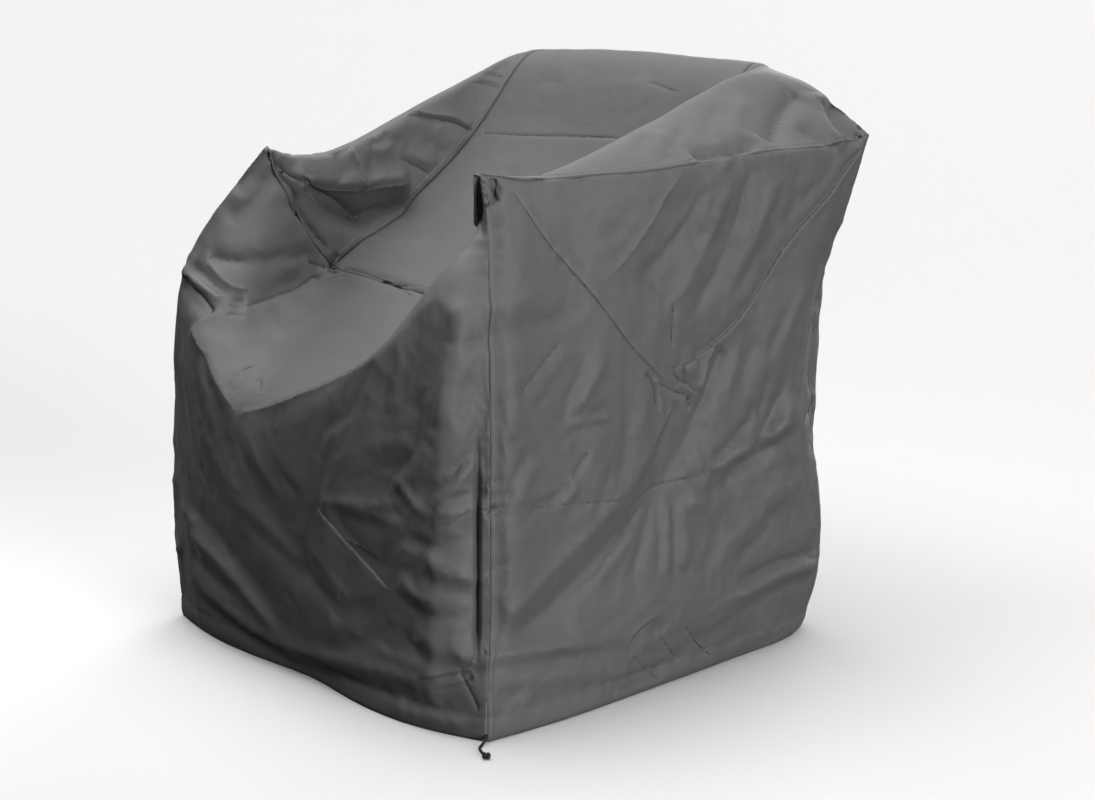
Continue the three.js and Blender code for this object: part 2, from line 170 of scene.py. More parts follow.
cord_yarn = speckled("cord yarn", 1600, (0.006, 0.006, 0.007, 1), (0.03, 0.03, 0.032, 1), 0.8)
cord_line = smooth_line(CORD_ROUTE, CORD_STEP)
cord = braided_tube("drawcord_tail", cord_line, cord_yarn)

KNOT_SIZE = 0.0031
KNOT_AHEAD = 0.0045           # of its middle, from the end of the tail
KNOT_HEIGHT = 0.0052
KNOT_STEPS = 90
KNOT_SHARE = 0.94             # of a closed overhand knot that the cord runs through

knot_centre = cord_line[-1] + (cord_line[-1] - cord_line[-2]).normalized() * KNOT_AHEAD
knot_centre.z = KNOT_HEIGHT
knot_line = []
for i in range(KNOT_STEPS + 1):
    t = 2 * math.pi * (i / KNOT_STEPS * KNOT_SHARE)
    knot_line.append(knot_centre + KNOT_SIZE * Vector((
        0.5 * (math.sin(t) + 2 * math.sin(2 * t)),
        0.5 * (math.cos(t) - 2 * math.cos(2 * t)),
        -0.75 * math.sin(3 * t),
    )))
knot = braided_tube("drawcord_end_knot", knot_line, cord_yarn)

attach(cord, "root")
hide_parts("drawcord")
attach(knot, "root")
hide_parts("drawcord_knot")

# ---- The cover's cloth as one skin --------------------------------------------------------------
# Seven panels of coated plain-woven polyester, sewn edge to edge. The skin is built over all of
# them at once, so that it stays joined along the seams, and is cut into the panels at the end.

PANELS = [
    "front_panel", "back_strip", "left_wing", "right_wing",
    "left_side_panel", "right_side_panel", "rear_panel",
]
OPEN = len(PANELS)            # stands for the missing neighbour at the hem
SHELL_THICKNESS = 0.0018      # of the panels' solids
SAME_POINT = 1e-5
SAME_LENGTH = 3e-6
SEAM_REACH = 0.0012           # panels' edges nearer than this are one seam
LONGEST_EDGE = 0.056          # before the skin is divided
CHAIR_MIDDLE = Vector((0, 0.1, 0.2))        # every outer face looks away from here


def outer_face(node):
    """The outer face of a panel's solid: its inner face and the rim between them are left out."""
    shell = bmesh.new()
    shell.from_mesh(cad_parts[node].data)
    bmesh.ops.remove_doubles(shell, verts=shell.verts, dist=SAME_POINT)
    rim = [
        face for face in shell.faces
        if any(abs(edge.calc_length() - SHELL_THICKNESS) < SAME_LENGTH for edge in face.edges)
    ]
    bmesh.ops.delete(shell, geom=rim, context="FACES")
    islands, seen = [], set()
    for face in shell.faces:
        if face in seen:
            continue
        seen.add(face)
        island, queue = [], [face]
        while queue:
            current = queue.pop()
            island.append(current)
            for edge in current.edges:
                for other in edge.link_faces:
                    if other not in seen:
                        seen.add(other)
                        queue.append(other)
        islands.append(island)
    inner = [
        face for island in islands for face in island
        if sum(f.calc_area() * f.normal.dot(f.calc_center_median() - CHAIR_MIDDLE) for f in island) < 0
    ]
    bmesh.ops.delete(shell, geom=inner, context="FACES")
    return shell


def unwrapped(node):
    """A panel's outer face laid out flat in metres, warp upwards, as it was cut."""
    shell = outer_face(node)
    piece = new_piece(node + "_cut", [], [])
    shell.to_mesh(piece.data)
    shell.free()
    bpy.context.view_layer.objects.active = piece
    piece.select_set(True)
    bpy.ops.object.mode_set(mode="EDIT")
    bpy.ops.mesh.select_all(action="SELECT")
    bpy.ops.uv.unwrap(method="ANGLE_BASED", margin=0)
    bpy.ops.object.mode_set(mode="OBJECT")
    mesh = piece.data
    points = np.zeros(len(mesh.vertices) * 3)
    mesh.vertices.foreach_get("co", points)
    points = points.reshape(-1, 3)
    corners = np.zeros(len(mesh.loops), np.int64)
    mesh.loops.foreach_get("vertex_index", corners)
    flat = np.zeros(len(mesh.loops) * 2)
    mesh.uv_layers.active.uv.foreach_get("vector", flat)
    bpy.data.objects.remove(piece)
    return points, corners.reshape(-1, 3), flat.reshape(-1, 3, 2)


class Skin:
    """Triangles with their points, the panel each belongs to and its place in the panel's cut."""

    def __init__(self, points, triangles, cut, panel):
        self.points, self.triangles, self.cut, self.panel = points, triangles, cut, panel

    def edges(self):
        """Each edge once, the edges of every triangle, and the two panels that meet at each edge."""
        t = self.triangles
        ends = np.concatenate([t[:, [0, 1]], t[:, [1, 2]], t[:, [2, 0]]])
        codes = ends.min(axis=1) * len(self.points) + ends.max(axis=1)
        codes, index = np.unique(codes, return_inverse=True)
        edges = np.stack([codes // len(self.points), codes % len(self.points)], axis=1)
        owner = np.tile(self.panel, 3)
        pair = np.stack([np.full(len(edges), OPEN), np.full(len(edges), -1)], axis=1)
        np.minimum.at(pair[:, 0], index, owner)
        np.maximum.at(pair[:, 1], index, owner)
        pair[np.bincount(index, minlength=len(edges)) == 1, 1] = OPEN
        return edges, index.reshape(3, -1).T, pair

    def divide(self, chosen=None):
        """Cuts the chosen edges in the middle, or all of them, and the triangles with them."""
        edges, index, _ = self.edges()
        chosen = np.ones(len(edges), bool) if chosen is None else chosen(edges)
        middle = np.full(len(edges), -1)
        middle[chosen] = len(self.points) + np.arange(chosen.sum())
        self.points = np.concatenate([self.points, self.points[edges[chosen]].mean(axis=1)])
        t, c = self.triangles, self.cut
        mids, cut_mids = middle[index], (c + np.roll(c, -1, axis=1)) / 2
        made = [[], [], []]

        def add(rows, *corners):
            made[0].append(np.stack([source[rows, k] for source, k, _ in corners], axis=1))
            made[1].append(np.stack([source[rows, k] for _, k, source in corners], axis=1))
            made[2].append(self.panel[rows])

        old = lambda k: (t, k % 3, c)
        new = lambda k: (mids, k % 3, cut_mids)
        count = (mids >= 0).sum(axis=1)
        rows = np.flatnonzero(count == 0)
        add(rows, old(0), old(1), old(2))
        rows = np.flatnonzero(count == 3)
        add(rows, old(0), new(0), new(2))
        add(rows, new(0), old(1), new(1))
        add(rows, new(2), new(1), old(2))
        add(rows, new(0), new(1), new(2))
        for k in range(3):
            rows = np.flatnonzero((count == 1) & (mids[:, k] >= 0))
            add(rows, old(k), new(k), old(k + 2))
            add(rows, new(k), old(k + 1), old(k + 2))
            rows = np.flatnonzero((count == 2) & (mids[:, k] < 0))
            add(rows, old(k + 2), new(k + 2), new(k + 1))
            add(rows, old(k), old(k + 1), new(k + 2))
            add(rows, old(k + 1), new(k + 1), new(k + 2))
        self.triangles, self.cut, self.panel = (np.concatenate(part) for part in made)

    def settle(self, rounds, share=0.5, weight=None):
        """Evens the surface. A point on a seam moves along the seam only, and a meeting point stays."""
        edges, _, pair = self.edges()
        border = pair[:, 0] != pair[:, 1]
        on_border = np.zeros(len(self.points), bool)
        on_border[edges[border]] = True
        meets = np.bincount(edges[border].ravel(), minlength=len(self.points))
        pulls = np.concatenate([edges[border], edges[border][:, ::-1]])
        inside = edges[~border]
        for a, b in ((0, 1), (1, 0)):
            rows = ~on_border[inside[:, a]]
            pulls = np.concatenate([pulls, inside[rows][:, [a, b]]])
        target, source = pulls.T
        number = np.maximum(np.bincount(target, minlength=len(self.points)), 1)
        move = np.where((meets > 2) | (meets == 1), 0, share)
        move = move if weight is None else move * weight
        for _ in range(rounds):
            mean = np.stack([
                np.bincount(target, self.points[source, k], minlength=len(self.points)) / number
                for k in range(3)
            ], axis=1)
            self.points += (mean - self.points) * move[:, None]

    def lengths(self, edges):
        return np.linalg.norm(self.points[edges[:, 0]] - self.points[edges[:, 1]], axis=1)

    def refine_near(self, places, reach, longest, rounds=3):
        """Divides the cloth within reach of these places until no edge there is longer than longest."""
        known = KDTree(len(places))
        for index, place in enumerate(places):
            known.insert(place, index)
        known.balance()
        for _ in range(rounds):
            gap = np.array([known.find(point)[2] for point in self.points])
            self.divide(lambda edges: (
                (gap[edges].min(axis=1) < reach) & (self.lengths(edges) > longest)
            ))

    def normals(self):
        a, b, c = (self.points[self.triangles[:, k]] for k in range(3))
        face = np.cross(b - a, c - a)
        total = np.stack([
            np.bincount(self.triangles.ravel(), np.repeat(face[:, axis], 3), minlength=len(self.points))
            for axis in range(3)
        ], axis=1)
        return total / np.maximum(np.linalg.norm(total, axis=1), 1e-12)[:, None]

    def tree(self):
        return BVHTree.FromPolygons(self.points.tolist(), self.triangles.tolist())


def welded_skin():
    """All the panels' outer faces as one skin, each cut turned so that its warp runs up the panel."""
    points, triangles, cut, panel = [], [], [], []
    count = 0
    for number, name in enumerate(PANELS):
        own, corners, flat = unwrapped(name)
        a, b, c = (own[corners[:, k]] for k in range(3))
        area = np.linalg.norm(np.cross(b - a, c - a), axis=1).sum()
        u, v, w = flat[:, 0], flat[:, 1], flat[:, 2]
        flat_area = np.abs(np.cross(v - u, w - u)).sum()
        flat = flat * math.sqrt(area / flat_area)
        rise = np.linalg.lstsq(
            np.c_[flat.reshape(-1, 2), np.ones(flat.size // 2)], own[corners.ravel()][:, 2], rcond=None,
        )[0]
        turn = math.pi / 2 - math.atan2(rise[1], rise[0])
        spin = np.array([[math.cos(turn), math.sin(turn)], [-math.sin(turn), math.cos(turn)]])
        points.append(own)
        triangles.append(corners + count)
        cut.append(flat @ spin)
        panel.append(np.full(len(corners), number))
        count += len(own)
    points, triangles = np.concatenate(points), np.concatenate(triangles)
    seam = bmesh.new()
    made = [seam.verts.new(p) for p in points]
    seam.verts.index_update()
    found = bmesh.ops.find_doubles(seam, verts=made, dist=SEAM_REACH)["targetmap"]
    target = np.arange(len(points))
    for vert, other in found.items():
        target[vert.index] = other.index
    seam.free()
    used, target = np.unique(target[triangles], return_inverse=True)
    triangles = target.reshape(-1, 3)
    whole = (triangles != np.roll(triangles, 1, axis=1)).all(axis=1)
    return Skin(
        points[used], triangles[whole], np.concatenate(cut)[whole], np.concatenate(panel)[whole],
    )


skin = welded_skin()
skin.divide(lambda edges: skin.lengths(edges) > LONGEST_EDGE)
skin.divide(lambda edges: skin.lengths(edges) > LONGEST_EDGE)
for _ in range(2):
    skin.settle(2)
    skin.divide()
    skin.settle(3)

# ---- Folds: how they are worked into the cloth ---------------------------------------------------
# A fold lies along a line of points on the cloth, given in millimetres as seen square on from the
# side that its view names. depth is how far it stands out or sinks, width how far it spreads, both
# in millimetres. A ridge or trough is soft, an edge or crease is sharp, and a pleat is a sharp step,
# proud on the line's left and sunk on its right. start and end are the shares of the line over which
# the fold dies out there.

MM = 0.001
VIEWS = {                     # the two axes of the points, the direction looked in, and from where
    "front": ((0, 2), (0, 1, 0), (0, -2, 0)),
    "right": ((1, 2), (-1, 0, 0), (2, 0, 0)),
    "left inside": ((1, 2), (-1, 0, 0), (-0.1, 0, 0)),
    "top": ((0, 1), (0, 0, -1), (0, 0, 2)),
}
Fold = namedtuple("Fold", "form depth width start end points")
SOFT = ("ridge", "trough")
SHARP = ("edge", "crease", "pleat")
SOFT_POWER = 1.25             # of the distance, as a soft fold fades beside its line
SHARP_FADE = 1.4              # how fast a sharp fold fades beside its line
PLEAT_RISE = 0.6              # of a pleat's high side, for its depth
PLEAT_FADE = 1.2              # of its low side
STEP_WIDTH = 0.0016           # of the step at a pleat's edge
FOLD_STEP = 0.006             # between the places where a line is laid on the cloth
SOFT_WIDTHS = 3               # that a fold is worked over on each side of its line
SHARP_WIDTHS = 4
SHARP_REACH = 0.0045          # the cloth is finer this near to a sharp line
SHARP_EDGE = 0.0030
SNAP = 0.0014                 # points this near to a sharp line are drawn onto it
SNAP_SHARE = 0.8              # of the way
FACING_FROM = 0.1             # cloth that faces less like the line's own cloth keeps clear of the fold
FACING_SPAN = 0.4


def across(form, side, width):
    """How high a fold of this form is, for its depth, at these signed distances from its line."""
    away = np.abs(side) / width
    if form in SOFT:
        height = np.exp(-away ** SOFT_POWER)
    elif form in ("edge", "crease"):
        height = np.exp(-away * SHARP_FADE)
    else:
        high = 0.5 + 0.5 * np.tanh(side / STEP_WIDTH)
        height = high * PLEAT_RISE * np.exp(-away) - (1 - high) * np.exp(-away * PLEAT_FADE)
    return -height if form in ("trough", "crease") else height


def laid_on(tree, view, points):
    """The line through the points, smoothed and dropped onto the cloth, and the cloth's normals."""
    axes, look, eye = VIEWS[view]
    start = []
    for pair in points:
        place = list(eye)
        place[axes[0]], place[axes[1]] = pair[0] * MM, pair[1] * MM
        start.append(place)
    line, normals = [], []
    for place in smooth_line(start, FOLD_STEP):
        hit, normal, _, _ = tree.ray_cast(place, look)
        if hit is not None:
            line.append(hit)
            normals.append(normal)
    return np.array(line), np.array(normals)


def beside(points, line, line_normals):
    """For each point, the share of the line passed at its nearest place, its signed distance to the
    left of the line, and the cloth's normal and the place there."""
    a, b = line[:-1], line[1:]
    along = b - a
    length = np.maximum(np.linalg.norm(along, axis=1), 1e-9)
    run = np.concatenate([[0], np.cumsum(length)])
    shift = points[:, None] - a[None]
    share = np.clip((shift * along).sum(2) / length ** 2, 0, 1)
    gap = shift - share[..., None] * along
    distance = np.linalg.norm(gap, axis=2)
    best = distance.argmin(axis=1)
    rows = np.arange(len(points))
    place = (run[best] + share[rows, best] * length[best]) / run[-1]
    normal = line_normals[best]
    left = np.cross(normal, along[best])
    side = np.where((gap[rows, best] * left).sum(1) >= 0, 1, -1) * distance[rows, best]
    return place, side, normal, a[best] + share[rows, best][:, None] * along[best]


def work(skin, folds):
    """Works folds into the cloth, each given with its line and the cloth's normals along it."""
    sharp = [line for row, (line, _) in folds if row.form in SHARP]
    if sharp:
        skin.refine_near(np.concatenate(sharp), SHARP_REACH, SHARP_EDGE)
    normals = skin.normals()
    lift = np.zeros(len(skin.points))
    for row, (line, line_normals) in folds:
        width = row.width * MM
        reach = (SOFT_WIDTHS if row.form in SOFT else SHARP_WIDTHS) * width
        near = ((skin.points > line.min(0) - reach) & (skin.points < line.max(0) + reach)).all(1)
        near = np.flatnonzero(near)
        place, side, normal, spot = beside(skin.points[near], line, line_normals)
        fade = np.ones(len(near))
        if row.start:
            fade *= np.clip(place / row.start, 0, 1)
        if row.end:
            fade *= np.clip((1 - place) / row.end, 0, 1)
        fade = fade * fade * (3 - 2 * fade)
        same = np.clip(((normals[near] * normal).sum(1) - FACING_FROM) / FACING_SPAN, 0, 1)
        lift[near] += row.depth * MM * across(row.form, side, width) * fade * same
        if row.form in SHARP:
            close = (np.abs(side) < SNAP) & (place > 0) & (place < 1)
            skin.points[near[close]] += (spot[close] - skin.points[near[close]]) * SNAP_SHARE
    skin.points += normals * lift[:, None]


def fold(skin, view, rows, forms=SOFT):
    """Works the folds of these forms in a table into the cloth. One that misses it is left out."""
    tree = skin.tree()
    laid = [(row, laid_on(tree, view, row.points)) for row in rows if row.form in forms]
    work(skin, [(row, line) for row, line in laid if len(line[0]) > 1])


Strewn = namedtuple("Strewn", "name low high count length turn depth width")
STREWN_END = 0.45             # share over which a strewn fold dies out at each end
STREWN_BEND = 0.3             # the most that its middle stands aside, for half its length


def strew(skin, view, rows):
    """Small uneven folds over a stretch of cloth: how many, between which corners, and how long, how
    far turned from level, how deep and how wide, each of these as (least, most)."""
    made = []
    for row in rows:
        pick = random.Random(row.name)
        for _ in range(row.count):
            x, y = (pick.uniform(row.low[k], row.high[k]) for k in range(2))
            angle = math.radians(pick.uniform(*row.turn))
            half = pick.uniform(*row.length) / 2
            bend = pick.uniform(-STREWN_BEND, STREWN_BEND) * half
            ahead, up = math.cos(angle), math.sin(angle)
            made.append(Fold(
                pick.choice(("trough", "ridge")), pick.uniform(*row.depth), pick.uniform(*row.width),
                STREWN_END, STREWN_END,
                [
                    (x - half * ahead, y - half * up),
                    (x - bend * up, y + bend * ahead),
                    (x + half * ahead, y + half * up),
                ],
            ))
    fold(skin, view, made)


# ---- Right side panel: its folds ----------------------------------------------------------------
# The cloth hangs from the arm's peak and from the rear corner of the back. Two long creases run
# down from there and meet in a small knot of tucks, with slack folds under it down to the hem.

RIGHT_FOLDS = [
    Fold("pleat", 1.9, 10, 0.02, 0.08, [(-222, 762), (-183, 690), (-121, 612), (-52, 522), (20, 455)]),
    Fold("crease", 7.0, 5, 0.05, 0.5, [(-28, 481), (-14, 465), (-9, 448), (-6, 429), (-1, 402)]),
    Fold("edge", 3.5, 5, 0.1, 0.5, [(-8, 470), (0, 446), (4, 425), (9, 402)]),
    Fold("pleat", 4.2, 9, 0.03, 0.05, [
        (390, 780), (327, 712), (252, 646), (194, 573), (122, 509), (36, 475),
    ]),
    Fold("trough", 6.2, 16, 0.2, 0.2, [(370, 785), (300, 725), (215, 650), (130, 560)]),
    Fold("crease", 5.0, 4, 0.1, 0.1, [(32, 484), (37, 466), (54, 452), (76, 435)]),
    Fold("edge", 5.0, 7, 0.2, 0.1, [(40, 455), (58, 446), (72, 436)]),
    Fold("crease", 4.0, 4, 0.2, 0.1, [(-6, 463), (26, 446), (62, 432)]),
    Fold("edge", 6.0, 6, 0.1, 0.2, [(114, 503), (97, 475), (88, 453), (79, 434)]),
    Fold("trough", 10.0, 11, 0.1, 0.3, [(133, 500), (109, 458), (90, 422), (68, 395), (54, 365)]),
    Fold("ridge", 9.0, 18, 0.2, 0.2, [(48, 470), (80, 480)]),
    Fold("crease", 4.0, 4, 0.3, 0.1, [(31, 580), (29, 536), (29, 508)]),
    Fold("crease", 6.0, 4, 0.1, 0.3, [(60, 434), (64, 416), (62, 404)]),
    Fold("trough", 7.0, 10, 0.1, 0.3, [(50, 424), (20, 405), (-5, 362), (-27, 326)]),
    Fold("edge", 3.0, 6, 0.2, 0.4, [(32, 423), (3, 397), (-19, 371)]),
    Fold("trough", 8.0, 9, 0.2, 0.1, [(187, 417), (178, 379), (146, 353), (115, 334), (98, 321)]),
    Fold("ridge", 7.0, 8, 0.1, 0.3, [(98, 316), (145, 328), (207, 338)]),
    Fold("trough", 7.0, 9, 0.2, 0.4, [(135, 303), (181, 312), (234, 323)]),
    Fold("crease", 9.0, 7, 0.3, 0.2, [(-252, 776), (-240, 762), (-256, 738)]),
    Fold("ridge", 7.8, 20, 0.1, 0.15, [
        (66, 440), (5, 392), (-75, 320), (-170, 255), (-270, 195), (-360, 150),
    ]),
    Fold("trough", 12.5, 32, 0.1, 0.15, [
        (92, 400), (40, 355), (-35, 290), (-130, 228), (-230, 170), (-340, 118),
    ]),
    Fold("edge", 3.0, 9, 0.3, 0.3, [(65, 782), (33, 746), (-8, 695), (-57, 646), (-111, 614)]),
    Fold("trough", 8.5, 19, 0.3, 0.3, [(108, 760), (66, 700), (10, 645), (-55, 600)]),
    Fold("trough", 9.3, 15, 0.2, 0.3, [
        (184, 777), (167, 733), (150, 682), (127, 631), (86, 574), (46, 534),
    ]),
    Fold("ridge", 6.2, 15, 0.3, 0.3, [(222, 765), (205, 705), (176, 645), (130, 585)]),
    Fold("ridge", 5.4, 11, 0.3, 0.3, [(145, 765), (128, 715), (93, 655), (46, 592), (-10, 558)]),
    Fold("trough", 4.7, 13, 0.3, 0.4, [(262, 770), (262, 715), (235, 665)]),
    Fold("trough", 5.4, 15, 0.1, 0.4, [(-365, 560), (-320, 565), (-254, 574), (-191, 578), (-120, 570)]),
    Fold("ridge", 4.7, 18, 0.2, 0.4, [(-360, 600), (-290, 610), (-200, 612)]),
    Fold("crease", 1.8, 4, 0.2, 0.2, [(-173, 551), (-227, 514), (-281, 473)]),
    Fold("ridge", 3.9, 12, 0.3, 0.3, [(-150, 545), (-215, 500), (-265, 458)]),
    Fold("trough", 5.4, 9, 0.3, 0.3, [(-130, 520), (-175, 470), (-200, 425)]),
    Fold("ridge", 5.4, 9, 0.3, 0.4, [(-100, 520), (-150, 465), (-180, 425)]),
    Fold("trough", 4.7, 7, 0.3, 0.3, [(-215, 432), (-171, 441), (-123, 438), (-60, 433)]),
    Fold("ridge", 3.9, 7, 0.3, 0.3, [(-210, 446), (-165, 454), (-110, 450)]),
    Fold("trough", 4.7, 7, 0.3, 0.3, [(-207, 409), (-144, 419), (-77, 411)]),
    Fold("ridge", 3.1, 6, 0.3, 0.3, [(-190, 422), (-144, 430), (-85, 424)]),
    Fold("crease", 3.6, 5, 0.2, 0.4, [(-148, 383), (-170, 361), (-186, 342)]),
    Fold("trough", 4.7, 8, 0.2, 0.3, [(-186, 344), (-217, 325), (-248, 323)]),
    Fold("ridge", 4.7, 8, 0.3, 0.3, [(-172, 342), (-195, 322), (-215, 313)]),
    Fold("trough", 4.7, 9, 0.3, 0.3, [(-255, 397), (-288, 368), (-311, 329)]),
    Fold("ridge", 3.9, 9, 0.3, 0.3, [(-238, 390), (-265, 362), (-290, 325)]),
    Fold("trough", 3.9, 10, 0.3, 0.3, [(-300, 430), (-262, 392), (-240, 375)]),
    Fold("crease", 1.4, 3, 0.05, 0.3, [(-384, 304), (-353, 323), (-301, 318)]),
    Fold("crease", 0.8, 3, 0.3, 0.3, [(-301, 318), (-197, 312), (-54, 296)]),
    Fold("crease", 1.9, 4, 0.2, 0.4, [(-70, 289), (-14, 304), (34, 308), (97, 307)]),
    Fold("ridge", 3.9, 12, 0.2, 0.5, [(-14, 312), (60, 322), (150, 328), (230, 338)]),
    Fold("trough", 9.3, 14, 0.2, 0.3, [(110, 310), (150, 312), (200, 324), (266, 338), (330, 350)]),
    Fold("ridge", 7.8, 14, 0.2, 0.3, [(120, 335), (190, 345), (250, 362), (300, 385)]),
    Fold("trough", 9.3, 13, 0.3, 0.3, [(165, 318), (205, 350), (235, 395), (258, 430)]),
    Fold("ridge", 7.8, 12, 0.3, 0.3, [(205, 330), (245, 365), (285, 415)]),
    Fold("trough", 6.2, 8, 0.3, 0.3, [(196, 365), (207, 410), (216, 455)]),
    Fold("trough", 5.4, 9, 0.2, 0.3, [(-14, 298), (-28, 270), (-43, 247), (-64, 206), (-83, 165)]),
    Fold("trough", 4.7, 7, 0.2, 0.4, [(-8, 296), (-17, 227), (-32, 154)]),
    Fold("ridge", 4.7, 8, 0.2, 0.4, [(6, 292), (-2, 220), (-12, 150)]),
    Fold("trough", 4.7, 8, 0.2, 0.4, [(18, 286), (12, 206), (9, 145)]),
    Fold("ridge", 4.7, 10, 0.2, 0.4, [(32, 285), (36, 215), (34, 150)]),
    Fold("crease", 1.9, 5, 0.2, 0.4, [(-29, 290), (-101, 236), (-153, 194), (-222, 163)]),
    Fold("ridge", 4.7, 10, 0.3, 0.3, [(-52, 262), (-110, 215), (-165, 175)]),
    Fold("trough", 6.2, 12, 0.3, 0.3, [(80, 290), (120, 285), (150, 300)]),
    Fold("ridge", 4.7, 16, 0.3, 0.3, [(75, 180), (155, 210), (220, 240), (300, 245)]),
    Fold("trough", 4.7, 14, 0.4, 0.4, [(120, 160), (190, 188), (250, 215)]),
    Fold("trough", 10.0, 11, 0.1, 0.3, [(358, 130), (273, 140), (201, 134), (132, 126)]),
    Fold("ridge", 9.0, 10, 0.1, 0.3, [(362, 112), (273, 121), (201, 115), (132, 107), (63, 100)]),
    Fold("trough", 4.7, 9, 0.2, 0.3, [(360, 92), (290, 97), (215, 88), (140, 80)]),
    Fold("pleat", 2.4, 9, 0.2, 0.2, [(-98, 73), (-82, 94), (-58, 107), (-30, 114)]),
    Fold("trough", 6.2, 8, 0.3, 0.3, [(-52, 82), (-38, 96), (-10, 92)]),
    Fold("trough", 6.2, 12, 0.1, 0.3, [(-375, 100), (-304, 96), (-228, 90), (-151, 85), (-99, 76)]),
    Fold("ridge", 6.2, 11, 0.1, 0.3, [(-378, 122), (-304, 116), (-228, 108), (-151, 100)]),
    Fold("crease", 2.4, 5, 0.1, 0.2, [(-85, 64), (-57, 35), (-18, 8)]),
    Fold("crease", 2.4, 5, 0.2, 0.3, [(-31, 86), (-7, 57), (19, 31)]),
    Fold("crease", 2.2, 5, 0.2, 0.3, [(20, 92), (57, 51), (98, 16)]),
    Fold("trough", 5.4, 12, 0.3, 0.4, [(-370, 80), (-330, 62), (-280, 52)]),
    Fold("ridge", 3.1, 14, 0.3, 0.4, [(-345, 98), (-260, 75), (-150, 52)]),
    Fold("crease", 8.4, 7, 0.05, 0.8, [(385, 368), (345, 360), (300, 342)]),
    Fold("crease", 7.2, 6, 0.1, 0.6, [(384, 366), (372, 395), (366, 432)]),
    Fold("trough", 9.3, 10, 0.1, 0.6, [(384, 362), (352, 315), (322, 285)]),
    Fold("ridge", 7.8, 9, 0.2, 0.6, [(384, 380), (345, 385), (318, 375)]),
    Fold("crease", 7.2, 6, 0.1, 0.8, [(386, 540), (360, 528), (330, 500)]),
    Fold("crease", 6.0, 6, 0.1, 0.6, [(380, 500), (365, 478), (350, 440)]),
    Fold("ridge", 6.2, 10, 0.1, 0.6, [(380, 520), (350, 490), (325, 455)]),
    Fold("trough", 6.2, 12, 0.2, 0.5, [(330, 520), (290, 470), (270, 420)]),
    Fold("trough", 4.7, 12, 0.3, 0.4, [(268, 560), (230, 505), (205, 455)]),
    Fold("ridge", 4.7, 12, 0.3, 0.4, [(300, 590), (262, 530), (240, 480)]),
    Fold("trough", 5.4, 14, 0.3, 0.4, [(200, 520), (172, 462), (160, 410)]),
    Fold("ridge", 4.7, 12, 0.3, 0.4, [(165, 505), (140, 450), (128, 400)]),
    Fold("ridge", 6.2, 10, 0.1, 0.5, [(410, 700), (380, 672), (362, 640)]),
]
RIGHT_STREWN = [
    Strewn("right front", (-350, 180), (-100, 500), 18, (30, 90), (10, 70), (0.5, 1.8), (4, 11)),
    Strewn("right middle", (-60, 150), (150, 420), 8, (30, 80), (30, 110), (0.5, 1.6), (4, 10)),
    Strewn("right rear", (160, 140), (370, 460), 10, (30, 90), (0, 70), (0.6, 2.0), (5, 12)),
    Strewn("right top", (-180, 560), (360, 760), 16, (40, 120), (30, 65), (0.5, 1.6), (6, 14)),
    Strewn("right hem", (-360, 20), (370, 110), 22, (30, 90), (-25, 30), (0.5, 1.6), (4, 10)),
]

# ---- Front panel: its folds ---------------------------------------------------------------------
# It falls from the seat's front edge. Slack is gathered at the right corner seam, in short tucks
# that point into the panel, and the left side is drawn down to the hem in long folds.

